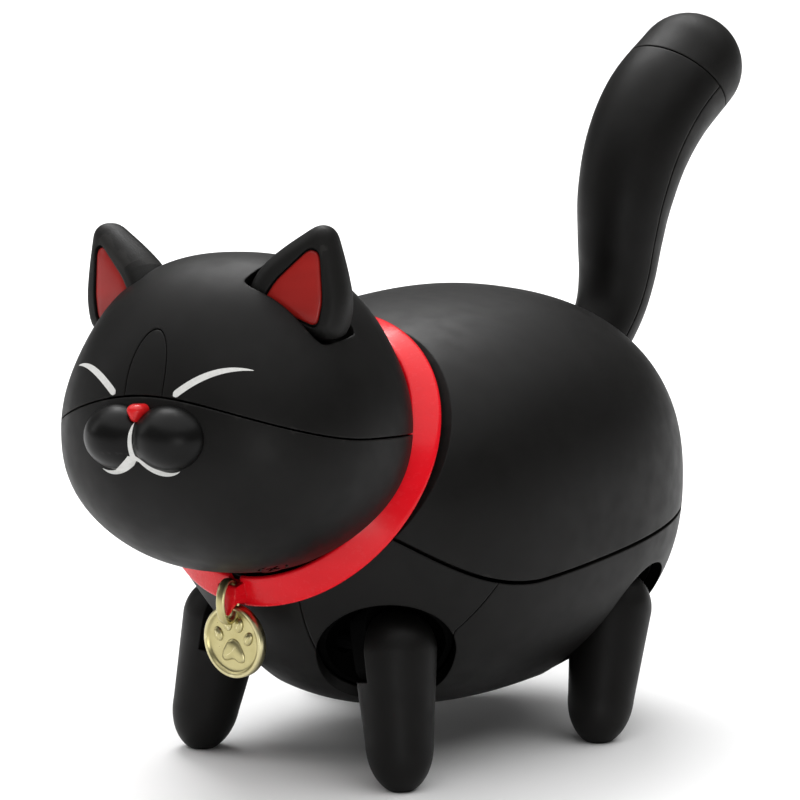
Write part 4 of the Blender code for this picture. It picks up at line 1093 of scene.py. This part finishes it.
def leg(end, side, word):
    """A leg, cut flat at the ground and hollowed where its knuckle sits and turns."""
    hip, spread = leg_frames(end, side)
    limb = lathe("leg", leg_profile(), hip)
    cut(limb, ball("leg_socket", LEG_SOCKET_RADIUS, 48, spread))
    face, inward = (-side * LEG_HOLLOW_X, 0, 0), (-side * 14.0, 0, 0)
    sweep_radius = KNUCKLE_TOP[end] + GAP
    sweep = rod("knuckle_sweep", face, inward, sweep_radius, place=spread, sides=95)
    keep_inside(sweep, box("upper_part", (-20, -20, LEG_HOLLOW_FLOOR), (20, 20, 20), hip))
    space = rod("knuckle_space", face, inward, KNUCKLE_SPACE_RADIUS, place=spread, sides=93)
    cut(limb, sweep, space)
    x, y = hip.translation.x, hip.translation.y
    cut(limb, box("ground", (x - 30, y - 30, -20), (x + 30, y + 30, 0)))
    node = f"leg_{end}_{word}"
    piece(limb, f"{node}_fine", node, BLACK, "black_plastic", node, angle=40)


def hip_knuckle(end, side, word):
    """The plate inside a leg's top, with the cup that snaps over the hip's ball."""
    spread = leg_frames(end, side)[1]
    x_range = sorted((-side * KNUCKLE_FAR_X, -side * KNUCKLE_NEAR_X))
    knuckle = side_prism("knuckle", knuckle_outline(), *x_range, spread)
    keep_inside(knuckle, ball("knuckle_round", KNUCKLE_TOP[end], 96, spread))
    join(knuckle, ball("cup", KNUCKLE_CUP_RADIUS, 48, spread))
    cut(knuckle, ball("cup_hollow", HIP_BALL_SPACE_RADIUS, 40, spread))
    mouth, inward = (-side * 1.3, 0, 0), (-side * 9, 0, 0)
    cut(knuckle, rod("cup_opening", mouth, inward, 2.95, 4.4, place=spread, sides=47))
    node = f"hip_knuckle_{end}_{word}"
    # The knuckle takes the near-black painted shade.
    piece(knuckle, f"{node}_fine", f"hip_{end}_{word}", SHADE_BLACK, "frame_plastic", node)


# Tail --------------------------------------------------------------------------------------------


def tail_points(steps):
    """TAIL_LINE as a smooth curve through its points, with that many steps from one to the next."""
    line = np.array(TAIL_LINE)
    line = np.vstack([2 * line[0] - line[1], line, 2 * line[-1] - line[-2]])
    points = []
    for i in range(1, len(line) - 2):
        before, start, end, after = line[i - 1 : i + 3]
        for t in np.arange(steps) / steps:
            squared = (2 * before - 5 * start + 4 * end - after) * t**2
            cubed = (3 * start - before - 3 * end + after) * t**3
            points.append((2 * start + (end - before) * t + squared + cubed) / 2)
    points.append(line[-2])
    return np.array(points)


def tail_solid(name):
    """The whole tail: round sections along its line, and a dome on its end."""
    line = tail_points(8)
    centres, radii = line[:, :2], line[:, 2]
    along = np.gradient(centres, axis=0)
    along /= np.linalg.norm(along, axis=1)[:, None]
    end, last = centres[-1], along[-1]
    for a in np.radians(np.arange(6, 90.1, 6)):
        centres = np.vstack([centres, end + last * line[-1, 2] * math.sin(a)])
        radii = np.append(radii, max(line[-1, 2] * math.cos(a), 0.0))
        along = np.vstack([along, last])
    rings = []
    for (y, z), (ty, tz), r in zip(centres, along, radii):
        section = [(r * math.cos(t), r * math.sin(t)) for t in full_turn(96)]
        rings.append([(across, y - tz * up, z + ty * up) for across, up in section])
    return loft(name, rings)


def tail():
    line = tail_points(6)
    rise = math.radians(TAIL_TIP_RISE)
    tip_dir = Vector((0, math.cos(rise), math.sin(rise)))
    seam = Vector((0, *TAIL_TIP_SEAM))
    beyond = seam + tip_dir * TAIL_CUT_REACH
    region = rod("tip_region", seam + tip_dir * GAP / 2, beyond, TAIL_CUT_RADIUS)
    end = keep_inside(tail_solid("tip"), region)
    piece(end, "tail_tip_fine", "tail", EAR_BLACK, "black_plastic", "tail_tip", angle=40)

    pivot = Vector((0, *TAIL_PIVOT))
    base = Vector((0, *TAIL_LINE[0][:2]))
    axis = (base - pivot).normalized()
    along = np.gradient(line[:, :2], axis=0)
    along /= np.linalg.norm(along, axis=1)[:, None]
    normal = np.stack([along[:, 1], -along[:, 0]], axis=1)
    for word, sign in (("front", -1), ("rear", 1)):
        edge = line[:, :2] + normal * sign * GAP / 2
        edge = np.vstack([edge[0] - along[0] * 6, edge, edge[-1] + along[-1] * 16])
        outer = edge + sign * np.array([24.0, -14.0])
        outline = [tuple(p) for p in np.vstack([edge, outer[::-1]])]
        shell = keep_inside(tail_solid("tail"), side_prism("half", outline, -14, 14))
        cut(shell, rod("tip_cutter", seam - tip_dir * GAP / 2, beyond, TAIL_CUT_RADIUS))
        cut(shell, rod("spigot_bore", base - axis * 4, base + axis * 7.2, SPIGOT_BORE_RADIUS))
        node = f"tail_{word}_shell"
        piece(shell, f"{node}_fine", "tail", BLACK, "black_plastic", node, angle=40)


# Carried-over pieces -----------------------------------------------------------------------------


def carried_over():
    """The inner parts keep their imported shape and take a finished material."""
    for name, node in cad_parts.items():
        finish = FRAME_BLACK
        if name.startswith(("jaw_screw", "tail_pin")):
            finish = BLACK_STEEL
        elif "screw" in name or name.startswith("ear_pin"):
            finish = STEEL
        for index in range(len(node.data.materials)):
            node.data.materials[index] = finish


# Studio ------------------------------------------------------------------------------------------


def soft_light(name, place, target, size, radiance):
    """A rectangular light of equal brightness whatever its size, in metres, aimed at a target."""
    data = bpy.data.lights.new(name, "AREA")
    data.shape = "RECTANGLE"
    data.size, data.size_y = size
    data.energy = radiance * math.pi * size[0] * size[1]
    obj = bpy.data.objects.new(name, data)
    obj.location = place
    obj.rotation_euler = (Vector(target) - Vector(place)).to_track_quat("-Z", "Y").to_euler()
    bpy.context.scene.collection.objects.link(obj)


def studio():
    bm = bmesh.new()
    bmesh.ops.create_grid(bm, x_segments=8, y_segments=8, size=4000.0)
    floor = new_object("floor", bm)
    n = Nodes("pale_floor")
    pale = n.mix(n.noise(300.0), (0.86, 0.86, 0.86, 1), (0.9, 0.9, 0.9, 1))
    floor.data.materials.append(n.set(Base_Color=pale, Roughness=0.8))

    world = bpy.data.worlds.new("studio")
    world.use_nodes = True
    background = world.node_tree.nodes["Background"]
    background.inputs["Color"].default_value = (1.0, 0.995, 0.985, 1.0)
    background.inputs["Strength"].default_value = 0.14
    bpy.context.scene.world = world
    data = bpy.data.lights.new("overhead_dome", "SUN")
    data.energy = 3.5
    data.angle = math.radians(100.0)
    bpy.context.scene.collection.objects.link(bpy.data.objects.new("overhead_dome", data))
    aim = (0.0, -0.01, 0.05)
    soft_light("back_softbox", (-0.37, 0.36, 0.72), aim, (0.45, 0.36), 9.0)
    soft_light("left_softbox", (-0.75, -0.35, 0.4), aim, (0.25, 0.5), 1.8)
    soft_light("right_softbox", (0.52, -0.58, 0.07), aim, (0.2, 0.12), 10.0)
    bpy.context.scene.view_settings.view_transform = "Standard"


def camera():
    """The photograph's view: ahead of the cat and to its left, from a little above."""
    azimuth, elevation = math.radians(CAMERA_AZIMUTH), math.radians(CAMERA_ELEVATION)
    right = Vector((math.cos(azimuth), math.sin(azimuth), 0))
    middle = Vector((0, MM * CENTRING_SHIFT, CAMERA_TARGET_HEIGHT_M))
    target = right * CAMERA_TARGET_RIGHT_M + middle
    level = math.cos(elevation)
    back = Vector((math.sin(azimuth) * level, -math.cos(azimuth) * level, math.sin(elevation)))
    data = bpy.data.cameras.new("camera")
    data.lens, data.sensor_width = CAMERA_LENS, 36.0
    data.clip_start, data.clip_end = 0.05, 50.0
    obj = bpy.data.objects.new("camera", data)
    obj.location = target + back * CAMERA_DISTANCE_M
    obj.rotation_euler = back.to_track_quat("Z", "Y").to_euler()
    bpy.context.scene.collection.objects.link(obj)
    bpy.context.scene.camera = obj


carried_over()
body_pieces()
leg_wells()
neck_plate()
collar()
medal()
head_pieces()
muzzle()
face_lines()
ears()
legs()
tail()
studio()
camera()

bpy.context.view_layer.update()
